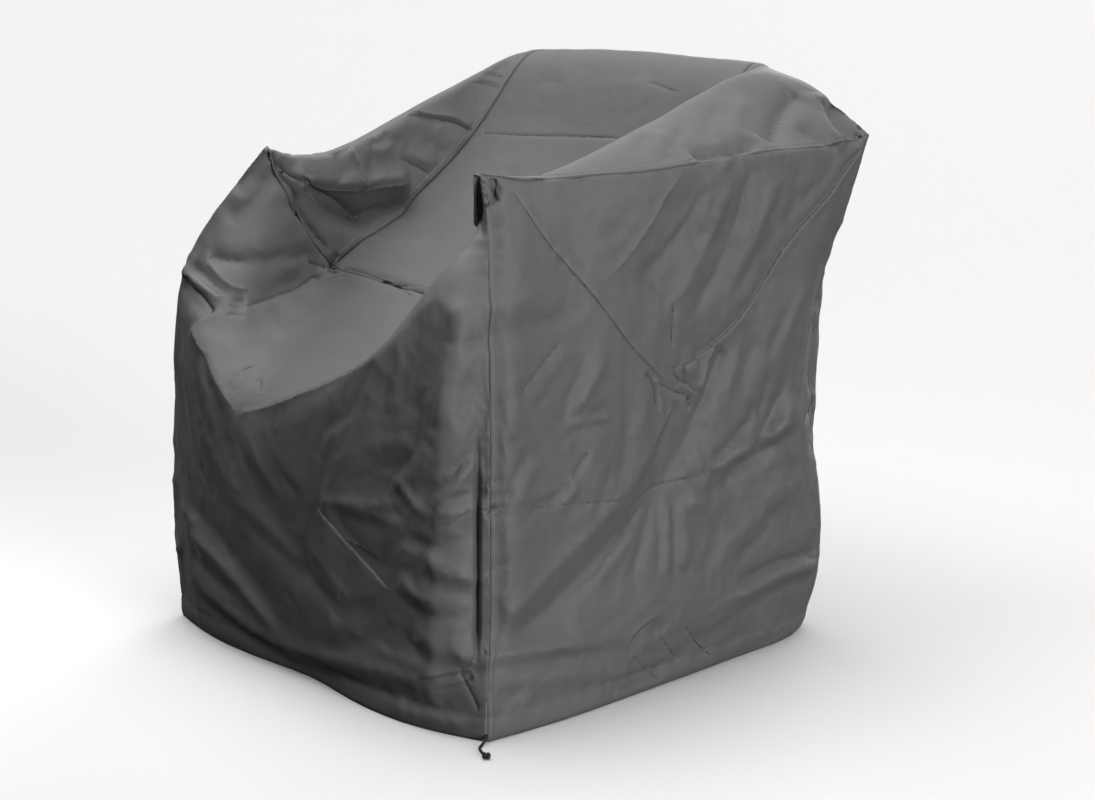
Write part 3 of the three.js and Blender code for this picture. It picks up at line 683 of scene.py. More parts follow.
FRONT_FOLDS = [
    Fold("ridge", 9.0, 9, 0.4, 0.4, [(-378, 108), (-366, 122), (-352, 130)]),
    Fold("ridge", 13.0, 33, 0.35, 0.15, [
        (314, 650), (306, 590), (302, 480), (304, 380), (304, 250), (302, 120), (300, 20),
    ]),
    Fold("crease", 4.0, 5, 0.1, 0.1, [(366, 127), (352, 108), (336, 96)]),
    Fold("crease", 4.0, 5, 0.1, 0.2, [(336, 97), (355, 70), (374, 38)]),
    Fold("ridge", 6.0, 18, 0.05, 0.4, [(-304, 503), (-253, 468), (-196, 421), (-149, 388)]),
    Fold("ridge", 8.0, 20, 0.3, 0.2, [
        (-149, 388), (-73, 413), (10, 446), (89, 480), (180, 525), (265, 575),
    ]),
    Fold("edge", 2.5, 8, 0.1, 0.1, [(-300, 500), (-253, 468), (-196, 421), (-152, 389)]),
    Fold("edge", 2.5, 8, 0.05, 0.4, [(-152, 389), (-73, 413), (10, 446), (89, 480), (180, 525)]),
    Fold("pleat", 2.2, 6, 0.1, 0.15, [(214, 192), (153, 225), (107, 255), (57, 292)]),
    Fold("trough", 6.0, 16, 0.3, 0.3, [(70, 300), (125, 262), (175, 232), (235, 205)]),
    Fold("ridge", 4.0, 12, 0.3, 0.3, [(57, 290), (136, 303), (211, 297), (268, 290)]),
    Fold("edge", 2.0, 8, 0.2, 0.5, [(104, 250), (140, 246), (188, 239)]),
    Fold("ridge", 5.0, 15, 0.3, 0.3, [(78, 347), (163, 394), (225, 412), (283, 396)]),
    Fold("trough", 5.0, 18, 0.3, 0.3, [(85, 318), (165, 362), (225, 380), (285, 368)]),
    Fold("trough", 3.0, 16, 0.3, 0.3, [(40, 380), (105, 425), (190, 452), (270, 440)]),
    Fold("ridge", 7.0, 9, 0.3, 0.1, [(245, 335), (283, 322), (321, 357), (352, 394)]),
    Fold("trough", 6.0, 10, 0.3, 0.1, [(262, 362), (296, 358), (330, 396), (350, 420)]),
    Fold("trough", 7.0, 9, 0.2, 0.1, [(283, 318), (320, 342), (352, 352), (366, 350)]),
    Fold("ridge", 5.0, 8, 0.3, 0.1, [(290, 314), (325, 326), (366, 322)]),
    Fold("ridge", 5.0, 8, 0.4, 0.2, [(228, 356), (256, 336), (282, 325)]),
    Fold("trough", 4.0, 8, 0.3, 0.3, [(215, 345), (243, 325), (262, 318)]),
    Fold("ridge", 4.0, 10, 0.1, 0.4, [(60, 300), (130, 310), (197, 315), (250, 312)]),
    Fold("trough", 5.0, 13, 0.2, 0.4, [(85, 292), (150, 285), (215, 288)]),
    Fold("trough", 1.8, 5, 0.3, 0.05, [(282, 296), (326, 301), (364, 306)]),
    Fold("trough", 6.0, 9, 0.3, 0.2, [(238, 284), (290, 273), (325, 285), (362, 292)]),
    Fold("ridge", 5.0, 9, 0.3, 0.2, [(225, 268), (270, 258), (310, 262)]),
    Fold("ridge", 7.0, 10, 0.3, 0.1, [(280, 258), (327, 238), (366, 222)]),
    Fold("trough", 6.0, 10, 0.3, 0.1, [(275, 232), (320, 214), (366, 200)]),
    Fold("ridge", 6.0, 9, 0.3, 0.3, [(225, 228), (272, 198), (316, 196)]),
    Fold("trough", 6.0, 10, 0.3, 0.2, [(215, 202), (262, 176), (320, 174), (366, 182)]),
    Fold("ridge", 7.0, 11, 0.3, 0.1, [(255, 160), (305, 133), (352, 120), (372, 118)]),
    Fold("trough", 6.0, 11, 0.3, 0.1, [(225, 142), (285, 112), (350, 98), (374, 96)]),
    Fold("ridge", 5.0, 12, 0.3, 0.3, [(154, 106), (232, 98), (300, 92), (340, 84)]),
    Fold("pleat", 3.0, 8, 0.3, 0.1, [(280, 76), (330, 92), (352, 98)]),
    Fold("crease", 5.0, 6, 0.4, 0.1, [(300, 62), (335, 74), (356, 92)]),
    Fold("ridge", 6.0, 14, 0.1, 0.1, [(-309, 94), (-170, 66), (-51, 44), (129, 64), (285, 74), (350, 64)]),
    Fold("trough", 8.0, 16, 0.1, 0.2, [(-309, 64), (-170, 40), (-40, 20), (129, 34), (280, 44)]),
    Fold("ridge", 5.0, 9, 0.3, 0.2, [(200, 20), (290, 24), (370, 20)]),
    Fold("trough", 4.0, 7, 0.3, 0.2, [(250, 36), (310, 34), (365, 38)]),
    Fold("ridge", 9.0, 14, 0.1, 0.3, [(-310, 172), (-203, 146), (-90, 86), (-30, 50)]),
    Fold("trough", 6.0, 16, 0.1, 0.3, [(-318, 132), (-215, 108), (-120, 72), (-70, 45)]),
    Fold("trough", 6.0, 18, 0.1, 0.4, [(-318, 212), (-215, 190), (-105, 128), (-20, 80)]),
    Fold("ridge", 4.0, 10, 0.2, 0.4, [(-257, 98), (-152, 84), (-81, 61)]),
    Fold("trough", 2.6, 10, 0.2, 0.4, [(-290, 455), (-250, 395), (-215, 325)]),
    Fold("ridge", 2.2, 10, 0.3, 0.4, [(-262, 440), (-225, 385), (-190, 320)]),
    Fold("trough", 2.4, 10, 0.2, 0.4, [(-232, 430), (-182, 382), (-123, 325)]),
    Fold("ridge", 2.2, 11, 0.3, 0.4, [(-192, 395), (-145, 345), (-105, 300)]),
    Fold("trough", 3.5, 10, 0.2, 0.4, [(-158, 372), (-112, 312), (-77, 271)]),
    Fold("ridge", 3.0, 12, 0.3, 0.4, [(-115, 370), (-70, 318), (-30, 275)]),
    Fold("trough", 3.0, 14, 0.3, 0.4, [(-72, 369), (-14, 314), (43, 294)]),
    Fold("ridge", 4.0, 15, 0.3, 0.4, [(-220, 273), (-80, 238), (32, 198)]),
    Fold("trough", 4.0, 16, 0.3, 0.4, [(-150, 222), (-40, 200), (40, 158)]),
    Fold("ridge", 4.0, 14, 0.3, 0.4, [(10, 240), (83, 194), (150, 135)]),
    Fold("trough", 3.5, 13, 0.3, 0.4, [(-10, 205), (60, 160), (110, 110)]),
    Fold("ridge", 3.0, 13, 0.4, 0.4, [(60, 160), (90, 110), (95, 80)]),
    Fold("crease", 1.0, 4, 0.3, 0.4, [(128, 230), (110, 170), (92, 110)]),
    Fold("trough", 3.0, 10, 0.3, 0.3, [(237, 519), (262, 452), (248, 378)]),
    Fold("ridge", 2.5, 10, 0.3, 0.4, [(300, 540), (304, 485), (305, 420)]),
    Fold("trough", 2.0, 9, 0.3, 0.4, [(325, 520), (330, 470), (335, 425)]),
    Fold("ridge", 6.0, 10, 0.1, 0.4, [(-345, 205), (-300, 192), (-255, 196)]),
    Fold("trough", 1.2, 5, 0.2, 0.3, [(296, 508), (325, 503), (350, 508)]),
]
FRONT_STREWN = [
    Strewn("front right", (200, 60), (360, 480), 34, (20, 60), (-35, 35), (0.6, 2.2), (4, 9)),
    Strewn("front middle", (-100, 60), (200, 400), 18, (40, 110), (-50, 20), (0.6, 2.0), (7, 14)),
    Strewn("front left", (-320, 60), (-100, 440), 20, (30, 90), (-70, -20), (0.6, 2.0), (5, 12)),
    Strewn("front hem", (-320, 5), (360, 50), 20, (25, 70), (-15, 15), (0.5, 1.4), (4, 8)),
]

# ---- Seat, back strip and wings: their folds ----------------------------------------------------
# The left wing sinks into a deep pocket between the arm's peak and the strip. Straight packing
# creases cross the strip, and a tuck runs along the foot of the back.

LEFT_INSIDE_FOLDS = [
    Fold("crease", 9.0, 7, 0.02, 0.1, [
        (-219, 764), (-197, 730), (-163, 693), (-141, 660), (-117, 623), (-94, 589),
    ]),
    Fold("trough", 8.0, 16, 0.05, 0.2, [(-212, 748), (-180, 705), (-135, 650), (-104, 600)]),
    Fold("crease", 5.0, 4, 0.05, 0.3, [(-204, 744), (-176, 723), (-141, 702), (-119, 682), (-102, 664)]),
    Fold("ridge", 16.0, 20, 0.1, 0.1, [
        (-180, 734), (-142, 719), (-101, 708), (-60, 702), (-19, 700), (20, 702), (72, 700),
    ]),
    Fold("edge", 5.0, 8, 0.1, 0.1, [
        (-142, 709), (-101, 696), (-60, 690), (-19, 687), (20, 690), (72, 690),
    ]),
    Fold("trough", 25.0, 22, 0.1, 0.2, [
        (-150, 705), (-100, 680), (-52, 655), (-24, 640), (0, 645), (51, 660), (80, 676),
    ]),
    Fold("crease", 8.0, 10, 0.1, 0.3, [
        (-168, 721), (-121, 700), (-83, 679), (-52, 660), (-24, 640), (0, 648), (45, 662),
    ]),
    Fold("ridge", 6.0, 16, 0.2, 0.2, [(-110, 650), (-70, 622), (-20, 604), (30, 620)]),
    Fold("edge", 7.0, 10, 0.1, 0.05, [(-58, 768), (-39, 737), (-19, 690)]),
    Fold("trough", 9.0, 15, 0.1, 0.2, [(-74, 762), (-72, 732), (-58, 706)]),
    Fold("trough", 8.0, 14, 0.1, 0.2, [(0, 770), (-6, 735), (-4, 706)]),
    Fold("ridge", 5.0, 10, 0.3, 0.3, [(-20, 758), (15, 750), (50, 765)]),
    Fold("trough", 6.0, 9, 0.3, 0.3, [(0, 786), (30, 767), (60, 752)]),
    Fold("edge", 5.0, 9, 0.1, 0.1, [(45, 818), (110, 804), (160, 795), (198, 775)]),
    Fold("crease", 4.5, 6, 0.1, 0.1, [(45, 810), (110, 795), (160, 786), (198, 767)]),
    Fold("crease", 3.5, 6, 0.2, 0.2, [(50, 736), (84, 716), (112, 699)]),
    Fold("ridge", 4.0, 9, 0.3, 0.2, [(60, 750), (92, 732), (120, 714)]),
    Fold("trough", 3.5, 9, 0.3, 0.3, [(95, 770), (120, 750), (145, 725)]),
    Fold("ridge", 3.0, 12, 0.3, 0.3, [(120, 790), (150, 765), (175, 742)]),
    Fold("crease", 1.8, 4, 0.3, 0.1, [(160, 852), (216, 847), (256, 838)]),
    Fold("edge", 1.5, 6, 0.3, 0.1, [(160, 862), (216, 857), (256, 848)]),
    Fold("crease", 2.5, 5, 0.3, 0.1, [(200, 870), (235, 862), (262, 856)]),
    Fold("crease", 5.0, 5, 0.1, 0.1, [(-112, 560), (-92, 574), (-80, 588)]),
    Fold("crease", 4.0, 5, 0.3, 0.1, [(-148, 582), (-130, 574), (-112, 568)]),
]
LEFT_ARM_FOLDS = [
    Fold("trough", 12.0, 14, 0.05, 0.1, [(-352, 585), (-325, 578), (-301, 564), (-278, 548), (-262, 537)]),
    Fold("edge", 5.0, 8, 0.1, 0.1, [(-324, 600), (-316, 589), (-303, 578), (-288, 564), (-271, 551)]),
    Fold("trough", 9.0, 10, 0.05, 0.5, [(-328, 604), (-312, 603), (-293, 598), (-275, 594)]),
    Fold("crease", 3.0, 5, 0.05, 0.4, [(-326, 602), (-312, 598), (-293, 593)]),
    Fold("ridge", 8.0, 12, 0.05, 0.1, [(-368, 580), (-330, 568), (-300, 556), (-276, 543), (-262, 533)]),
    Fold("edge", 4.0, 7, 0.1, 0.2, [(-365, 578), (-315, 562), (-288, 548), (-270, 539)]),
    Fold("crease", 9.0, 7, 0.05, 0.1, [(-368, 572), (-346, 558), (-311, 548), (-289, 533), (-272, 521)]),
    Fold("trough", 6.0, 12, 0.1, 0.1, [(-368, 560), (-340, 548), (-305, 536), (-280, 520)]),
    Fold("trough", 8.0, 15, 0.2, 0.2, [(-286, 735), (-292, 700), (-303, 676), (-322, 656)]),
    Fold("trough", 5.0, 11, 0.3, 0.3, [(-295, 690), (-289, 677), (-284, 684)]),
    Fold("ridge", 5.0, 18, 0.3, 0.3, [(-330, 640), (-322, 690), (-304, 725)]),
    Fold("ridge", 4.0, 22, 0.3, 0.3, [(-296, 650), (-288, 615), (-280, 585)]),
]
TOP_FOLDS = [
    Fold("trough", 10.0, 22, 0.05, 0.15, [
        (-274, -112), (-268, -170), (-263, -220), (-260, -265), (-262, -300),
    ]),
    Fold("crease", 5.0, 6, 0.1, 0.1, [
        (-274, -120), (-270, -150), (-267, -180), (-264, -214), (-263, -247), (-260, -266), (-258, -290),
    ]),
    Fold("crease", 2.5, 4, 0.2, 0.2, [(-268, -132), (-252, -116), (-223, -104)]),
    Fold("ridge", 3.0, 26, 0.2, 0.2, [(-215, -150), (-205, -220), (-215, -290)]),
    Fold("crease", 6.0, 6, 0.05, 0.05, [(-264, -96), (-217, -94), (-150, -103), (-97, -108), (-24, -112)]),
    Fold("edge", 4.0, 6, 0.2, 0.1, [(-190, -84), (-110, -94), (-20, -100)]),
    Fold("crease", 3.0, 4, 0.4, 0.1, [(-120, -112), (-79, -116), (-45, -128)]),
    Fold("crease", 4.0, 5, 0.1, 0.1, [(-284, -86), (-279, -97), (-269, -116)]),
    Fold("crease", 2.0, 4, 0.3, 0.3, [(-268, -320), (-263, -299), (-258, -287)]),
    Fold("crease", 2.0, 4, 0.3, 0.3, [(-262, -330), (-256, -310), (-250, -298)]),
    Fold("trough", 2.5, 9, 0.3, 0.3, [(67, -250), (43, -218), (27, -189)]),
    Fold("crease", 2.0, 5, 0.1, 0.4, [(-187, -388), (-187, -362), (-182, -337), (-167, -319)]),
    Fold("edge", 1.2, 6, 0.2, 0.3, [(-176, -380), (-176, -356), (-170, -334)]),
    Fold("crease", 1.8, 5, 0.3, 0.1, [(-164, -362), (-149, -349), (-128, -364)]),
    Fold("trough", 1.5, 14, 0.4, 0.4, [(-215, -217), (-90, -217), (20, -245)]),
    Fold("ridge", 1.5, 14, 0.4, 0.4, [(-240, -290), (-150, -300), (-90, -340)]),
]
BACK_FOLDS = [
    Fold("crease", 2.2, 4, 0.02, 0.1, [(-247, 767), (-160, 768), (-81, 773), (60, 780)]),
    Fold("crease", 1.2, 4, 0.2, 0.4, [(53, 868), (98, 861), (143, 855)]),
    Fold("trough", 1.0, 7, 0.3, 0.3, [(-145, 832), (-148, 806), (-151, 779)]),
    Fold("trough", 1.4, 9, 0.3, 0.3, [(86, 848), (67, 824), (33, 806)]),
    Fold("trough", 1.2, 7, 0.3, 0.3, [(-205, 842), (-160, 855), (-110, 850)]),
    Fold("ridge", 1.0, 8, 0.3, 0.3, [(-42, 850), (16, 862), (61, 862)]),
    Fold("trough", 1.4, 12, 0.3, 0.3, [(-200, 700), (-150, 715), (-100, 700)]),
    Fold("ridge", 1.2, 12, 0.3, 0.3, [(-230, 640), (-180, 690), (-140, 745)]),
]
RIGHT_TOP_FOLDS = [
    Fold("trough", 2.0, 8, 0.3, 0.2, [(281, 121), (325, 88), (358, 77)]),
    Fold("trough", 13.0, 16, 0.1, 0.05, [(335, 338), (341, 303), (352, 272), (378, 226)]),
    Fold("ridge", 8.0, 12, 0.1, 0.05, [(345, 360), (368, 351), (396, 345), (418, 362)]),
    Fold("trough", 15.0, 12, 0.1, 0.05, [(361, 374), (388, 368), (410, 372), (421, 388)]),
    Fold("trough", 9.0, 11, 0.1, 0.05, [(371, 306), (391, 312), (408, 326), (416, 352)]),
    Fold("trough", 14.0, 9, 0.1, 0.3, [
        (355, 77), (357, 98), (363, 121), (370, 164), (372, 192), (377, 212),
    ]),
    Fold("trough", 3.0, 10, 0.3, 0.2, [(299, 40), (306, 16), (322, 0)]),
    Fold("ridge", 3.0, 9, 0.3, 0.3, [(300, 70), (318, 50), (345, 40)]),
    Fold("trough", 3.0, 9, 0.3, 0.3, [(305, 100), (330, 60), (348, 20)]),
    Fold("ridge", 5.0, 14, 0.3, 0.3, [(300, 250), (328, 205), (362, 160)]),
    Fold("trough", 3.5, 12, 0.3, 0.3, [(295, 200), (320, 150), (350, 110)]),
]
ALL_FOLDS = [                 # the view that each table's points are in, and the table
    ("right", RIGHT_FOLDS), ("front", FRONT_FOLDS), ("left inside", LEFT_INSIDE_FOLDS),
    ("front", LEFT_ARM_FOLDS), ("top", TOP_FOLDS), ("front", BACK_FOLDS), ("top", RIGHT_TOP_FOLDS),
]
for view, table in ALL_FOLDS:
    fold(skin, view, table)

# ---- The right front corner ----------------------------------------------------------------------
# The front panel wraps round the chair's corner, so the seam lies a little way along the side.
# Later, once the cloth has settled, a slit opens beside the seam and a hollow under the peak.

WRAP_HEIGHTS = (0.07, 0.16, 0.70, 0.79)     # it grows between the first two and fades between the others
WRAP_SHIFT = 0.030            # of the seam, along INWARD
WRAP_REACH = 0.034
INWARD = (-0.68, 0.73, 0.0)   # towards the back and the left
FAR = 0.1                     # cloth farther than this from a seam has no part in its corner
PARTS = 20                    # in which the distances are worked out, to save memory


def smooth_step(values, low, high):
    """0 up to low, 1 from high on, and smooth between them."""
    share = np.clip((values - low) / (high - low), 0, 1)
    return share * share * (3 - 2 * share)


def between(values, steps):
    """1 between the two middle steps, falling smoothly to 0 at the outer ones."""
    return smooth_step(values, *steps[:2]) * (1 - smooth_step(values, *steps[2:]))


def seam_points(skin, first, second):
    """The points of the seam where two panels meet."""
    edges, _, pair = skin.edges()
    meeting = sorted((PANELS.index(first), PANELS.index(second)))
    return skin.points[np.unique(edges[(pair == meeting).all(axis=1)])]


def gap_to(skin, seam):
    """Every point's distance from the seam, or one metre if it is well left, in front of or below it."""
    near = np.flatnonzero((skin.points > seam.min(0) - FAR).all(axis=1))
    gap = np.full(len(skin.points), 1.0)
    for rows in np.array_split(near, PARTS):
        gap[rows] = np.linalg.norm(skin.points[rows][:, None] - seam[None], axis=2).min(axis=1)
    return gap


gap = gap_to(skin, seam_points(skin, "front_panel", "right_side_panel"))
wrap = WRAP_SHIFT * between(skin.points[:, 2], WRAP_HEIGHTS) * np.exp(-(gap / WRAP_REACH) ** 2)
skin.points += wrap[:, None] * INWARD

# ---- Settling ------------------------------------------------------------------------------------
# The cloth was cut with some ease, so between its seams, which keep their places, it buckles into
# its folds. The seat and the strip were drawn smooth and have little of it.

EASE = {                      # share of the full ease that each panel has
    "front_panel": 1.0, "back_strip": 0.25, "left_wing": 0.5, "right_wing": 0.4,
    "left_side_panel": 1.0, "right_side_panel": 1.0, "rear_panel": 1.0,
}
FULL_EASE = 0.013
LEVEL_EASE = 0.15             # of cloth that lies level, such as the seat
LEVEL_FROM = 0.35             # how far up a normal points where the cloth begins to count as level
LEVEL_SPAN = 0.3
LEAST_HOLD = 0.1              # how firmly the fullest cloth is held where it is
MORE_HOLD = 0.5               # what cloth without ease has on top of that
SETTLING_FRAMES = 12


def levelness(normals):
    return np.clip((normals[:, 2] - LEVEL_FROM) / LEVEL_SPAN, 0, 1)


def by_panel(skin, shares):
    """Each point's share, from its panel's."""
    values = np.zeros(len(skin.points))
    for number, name in enumerate(PANELS):
        values[skin.triangles[skin.panel == number].ravel()] = shares[name]
    return values


def settle_by_simulation(skin):
    """Where the cloth's points come to rest once it has grown by its ease."""
    piece = new_piece("cloth_settling", skin.points.tolist(), skin.triangles.tolist())
    edges, _, pair = skin.edges()
    ease = by_panel(skin, EASE) * (1 - levelness(skin.normals()) * (1 - LEVEL_EASE))
    slack = piece.vertex_groups.new(name="slack")
    held = piece.vertex_groups.new(name="held")
    for index, share in enumerate(ease):
        slack.add([index], share, "REPLACE")
        held.add([index], LEAST_HOLD + MORE_HOLD * (1 - share), "REPLACE")
    held.add(np.unique(edges[pair[:, 0] != pair[:, 1]]).tolist(), 1.0, "REPLACE")
    cloth = piece.modifiers.new("cloth", "CLOTH")
    cloth.collision_settings.use_collision = False
    cloth.point_cache.frame_end = SETTLING_FRAMES
    settings = cloth.settings
    settings.quality = 4
    settings.mass = 0.25
    settings.tension_stiffness = settings.compression_stiffness = 60
    settings.shear_stiffness = 36
    settings.bending_stiffness = 0.5
    settings.tension_damping = settings.compression_damping = settings.shear_damping = 8
    settings.bending_damping = 0.6
    settings.air_damping = 3
    settings.effector_weights.gravity = 0.1
    settings.vertex_group_mass = "held"
    settings.pin_stiffness = 1
    settings.vertex_group_shrink = "slack"
    settings.shrink_min = 0
    settings.shrink_max = -FULL_EASE
    for frame_number in range(1, SETTLING_FRAMES + 1):
        bpy.context.scene.frame_set(frame_number)
    settled = piece.evaluated_get(bpy.context.evaluated_depsgraph_get()).data
    points = np.zeros(skin.points.size)
    settled.vertices.foreach_get("co", points)
    bpy.context.scene.frame_set(1)
    bpy.data.objects.remove(piece)
    return points.reshape(-1, 3)


skin.points = settle_by_simulation(skin)

# The panels with fine folds are made finer, then the sharp creases and the small folds follow.

FINE_EDGE = 0.0076
LEVEL_EDGE = 0.0100           # of cloth that lies level
LEVEL_NORMAL = 0.8            # how far up its normals point at least
PLAIN_PANELS = ("left_side_panel", "rear_panel")
FINE_PANELS = [number for number, name in enumerate(PANELS) if name not in PLAIN_PANELS]

in_fine = np.zeros(len(skin.points), bool)
in_fine[skin.triangles[np.isin(skin.panel, FINE_PANELS)]] = True


def too_long(edges):
    level = skin.normals()[edges, 2].mean(axis=1) > LEVEL_NORMAL
    return in_fine[edges].all(axis=1) & (skin.lengths(edges) > np.where(level, LEVEL_EDGE, FINE_EDGE))


skin.divide(too_long)
skin.settle(1)
for view, table in ALL_FOLDS:
    fold(skin, view, table, SHARP)
strew(skin, "right", RIGHT_STREWN)
strew(skin, "front", FRONT_STREWN)

# The slit runs beside the corner seam. At the peak the front panel stands off to the left in a flap
# with a dark hollow between it and the seam, and the side panel has a small hollow of its own.

SLIT_HEIGHTS = (0.10, 0.15, 0.30, 0.46)
SLIT_PLACE = 0.018            # from the seam
SLIT_WIDTH = 0.0042
SLIT_DEPTH = 0.017
ACROSS = np.array((0.69, 0.72, 0.0))        # square to the corner's diagonal
DIAGONAL = np.array((-0.72, 0.69, 0.0))     # into the chair
FLAP_HEIGHTS = (0.690, 0.712, 0.785, 0.790)
FLAP_PLACE = -0.016           # of its edge, across the diagonal
FLAP_SHARE = 0.62             # of the way over the front panel's tip
FLAP_WIDTH = 0.24             # of that way
HOLLOW_HEIGHTS = (0.694, 0.735, 0.778, 0.785)
HOLLOW_SHARES = (0.03, 0.14, 0.40, 0.54)    # of the way over the front panel's tip
HOLLOW_DEPTH = 0.036
SMALL_HEIGHTS = (0.742, 0.753, 0.772, 0.779)
SMALL_GAPS = (0.0140, 0.0170, 0.0220, 0.0290)   # from the corner seam
SMALL_DEPTH = 0.015
SMALL_FADE = 0.004            # below the side panel's top seam, which stays where it is
LEAST_GAP = 1e-6              # stands in for none at all, where the seams meet
CORNER_EDGE = 0.0026
SLIT_REACH = 0.026            # the cloth is finer this near to the seam beside the slit
SLIT_MARGIN = 0.02            # and this far above and below it
PEAK_REACH = 0.045
PEAK_MARGIN = 0.01


def points_of(skin, name):
    """Which points belong to a panel."""
    on_panel = np.zeros(len(skin.points), bool)
    on_panel[skin.triangles[skin.panel == PANELS.index(name)]] = True
    return on_panel


seam = seam_points(skin, "front_panel", "right_side_panel")
lowest, highest = SLIT_HEIGHTS[0] - SLIT_MARGIN, SLIT_HEIGHTS[-1] + SLIT_MARGIN
beside_slit = (seam[:, 2] > lowest) & (seam[:, 2] < highest)
skin.refine_near(seam[beside_slit], SLIT_REACH, CORNER_EDGE)
skin.refine_near(seam[seam[:, 2] > FLAP_HEIGHTS[0] - PEAK_MARGIN], PEAK_REACH, CORNER_EDGE)
on_front = points_of(skin, "front_panel")
on_side = points_of(skin, "right_side_panel")
above = skin.points[:, 2]
gap = gap_to(skin, seam)
top_gap = gap_to(skin, seam_points(skin, "right_side_panel", "right_wing"))
wing_gap = gap_to(skin, seam_points(skin, "front_panel", "right_wing"))
share = gap / np.maximum(gap + wing_gap, LEAST_GAP)
slit = SLIT_DEPTH * between(above, SLIT_HEIGHTS) * np.exp(-((gap - SLIT_PLACE) / SLIT_WIDTH) ** 2)
hollow = HOLLOW_DEPTH * between(above, HOLLOW_HEIGHTS) * between(share, HOLLOW_SHARES)
small = SMALL_DEPTH * between(above, SMALL_HEIGHTS) * between(gap, SMALL_GAPS)
small *= np.clip(top_gap / SMALL_FADE, 0, 1)
flap = np.maximum(skin.points @ ACROSS - FLAP_PLACE, 0) * between(above, FLAP_HEIGHTS)
flap *= np.exp(-((share - FLAP_SHARE) / FLAP_WIDTH) ** 2) * (gap < FAR)
skin.points += (slit * on_front + hollow * on_front + small * on_side)[:, None] * DIAGONAL
skin.points -= (flap * on_front)[:, None] * ACROSS

# ---- Seams: how the sewing draws the cloth ---------------------------------------------------------
# Every seam is felled: the two panels' edges are folded into each other and sewn down flat with two
# rows of stitches, which draw the cloth in unevenly. The hem is turned up into a tunnel for the cord.

SEAMS = [                     # the two panels, the one that the felled band lies on first
    ("right_side_panel", "front_panel"), ("left_side_panel", "front_panel"),
    ("left_wing", "front_panel"), ("right_wing", "front_panel"), ("back_strip", "front_panel"),
    ("left_wing", "back_strip"), ("right_wing", "back_strip"),
    ("left_wing", "left_side_panel"), ("right_wing", "right_side_panel"),
    ("rear_panel", "left_side_panel"), ("rear_panel", "right_side_panel"),
    ("rear_panel", "left_wing"), ("rear_panel", "back_strip"), ("rear_panel", "right_wing"),
]
PUCKER_DEPTH = 0.0016
PUCKER_LENGTH = 0.016         # from one pucker to the next along a seam
PUCKER_REACH = 0.02
PUCKER_START = 0.003          # a pucker deepens over about this distance from the seam
PUCKER_CALM = 0.11            # from one stretch of deep puckers to the next
SEAM_SINK = 0.0009
SEAM_WIDTH = 0.0025           # of the groove along a seam
HEM_TUNNEL = 0.035
HEM_ROLL = 0.0022             # how far the tunnel swells
HEM_PUCKER = 0.0018
HEM_PUCKER_LENGTH = 0.02      # of a pucker, and how far it reaches up and down from the stitches
HEM_STRETCH = 0.35            # of heights: a smaller share draws the puckers out upright
HEM_SINK_WIDTH = 0.003
GROUND_CLEAR = 0.001          # cloth lower than this stays where it is
GROUND_FADE = 0.004
CLOTH_WAVES = [(0.09, 0.0011), (0.035, 0.00045), (0.014, 0.00013)]    # length and height
CLOTH_CREASES = [(0.13, 0.0042), (0.055, 0.0022), (0.026, 0.0010)]
CREASE_BEND = 0.3             # how far a crease strays, for its length
CREASE_PATCH = 0.2            # from one creased stretch of cloth to the next
CREASED = {                   # share of the creases' height that each panel has
    "front_panel": 0.5, "back_strip": 0.25, "left_wing": 0.5, "right_wing": 0.45,
    "left_side_panel": 1.0, "right_side_panel": 0.75, "rear_panel": 0.9,
}
LEVEL_SHARE = 0.3             # of that, on cloth that lies level


def seam_lines(skin):
    """The points along every seam and hem, in order, by the pair of panels that meets there."""
    edges, _, pair = skin.edges()
    border = pair[:, 0] != pair[:, 1]
    neighbours = {}
    for (a, b), (low, high) in zip(edges[border].tolist(), pair[border].tolist()):
        near = neighbours.setdefault((low, high), {})
        near.setdefault(a, []).append(b)
        near.setdefault(b, []).append(a)
    lines = {}
    for meeting, near in neighbours.items():
        line = [min((point for point, others in near.items() if len(others) == 1), default=min(near))]
        before = None
        while True:
            ahead = [point for point in near[line[-1]] if point != before]
            if not ahead or ahead[0] == line[0]:
                break
            before = line[-1]
            line.append(ahead[0])
        lines[meeting] = np.array(line)
    return lines


def noise_at(places, length, seed):
    """Smooth noise at each place, about length from one bump to the next."""
    shift = Vector((seed * 7.3, seed * 3.1, seed * 5.7))
    return np.array([noise.noise(Vector(place) / length + shift) for place in places])


def seam_lift(skin):
    """How far each point rises beside the seams, which pucker the cloth unevenly."""
    lines = seam_lines(skin)
    sewn = np.unique(np.concatenate([line for pair, line in lines.items() if pair[1] != OPEN]))
    tree = KDTree(len(sewn))
    for number, place in enumerate(skin.points[sewn]):
        tree.insert(place, number)
    tree.balance()
    nearest, gap = np.array([tree.find(point)[1:] for point in skin.points]).T
    nearest = nearest.astype(int)
    tug = noise_at(skin.points[sewn], PUCKER_LENGTH, 1)[nearest]
    tug *= 0.5 + 2 * np.abs(noise_at(skin.points[sewn], PUCKER_CALM, 2))[nearest]
    fade = np.exp(-gap / PUCKER_REACH) * np.clip(gap / PUCKER_START + 0.3, 0, 1)
    return PUCKER_DEPTH * tug * fade - SEAM_SINK * np.exp(-(gap / SEAM_WIDTH) ** 2)


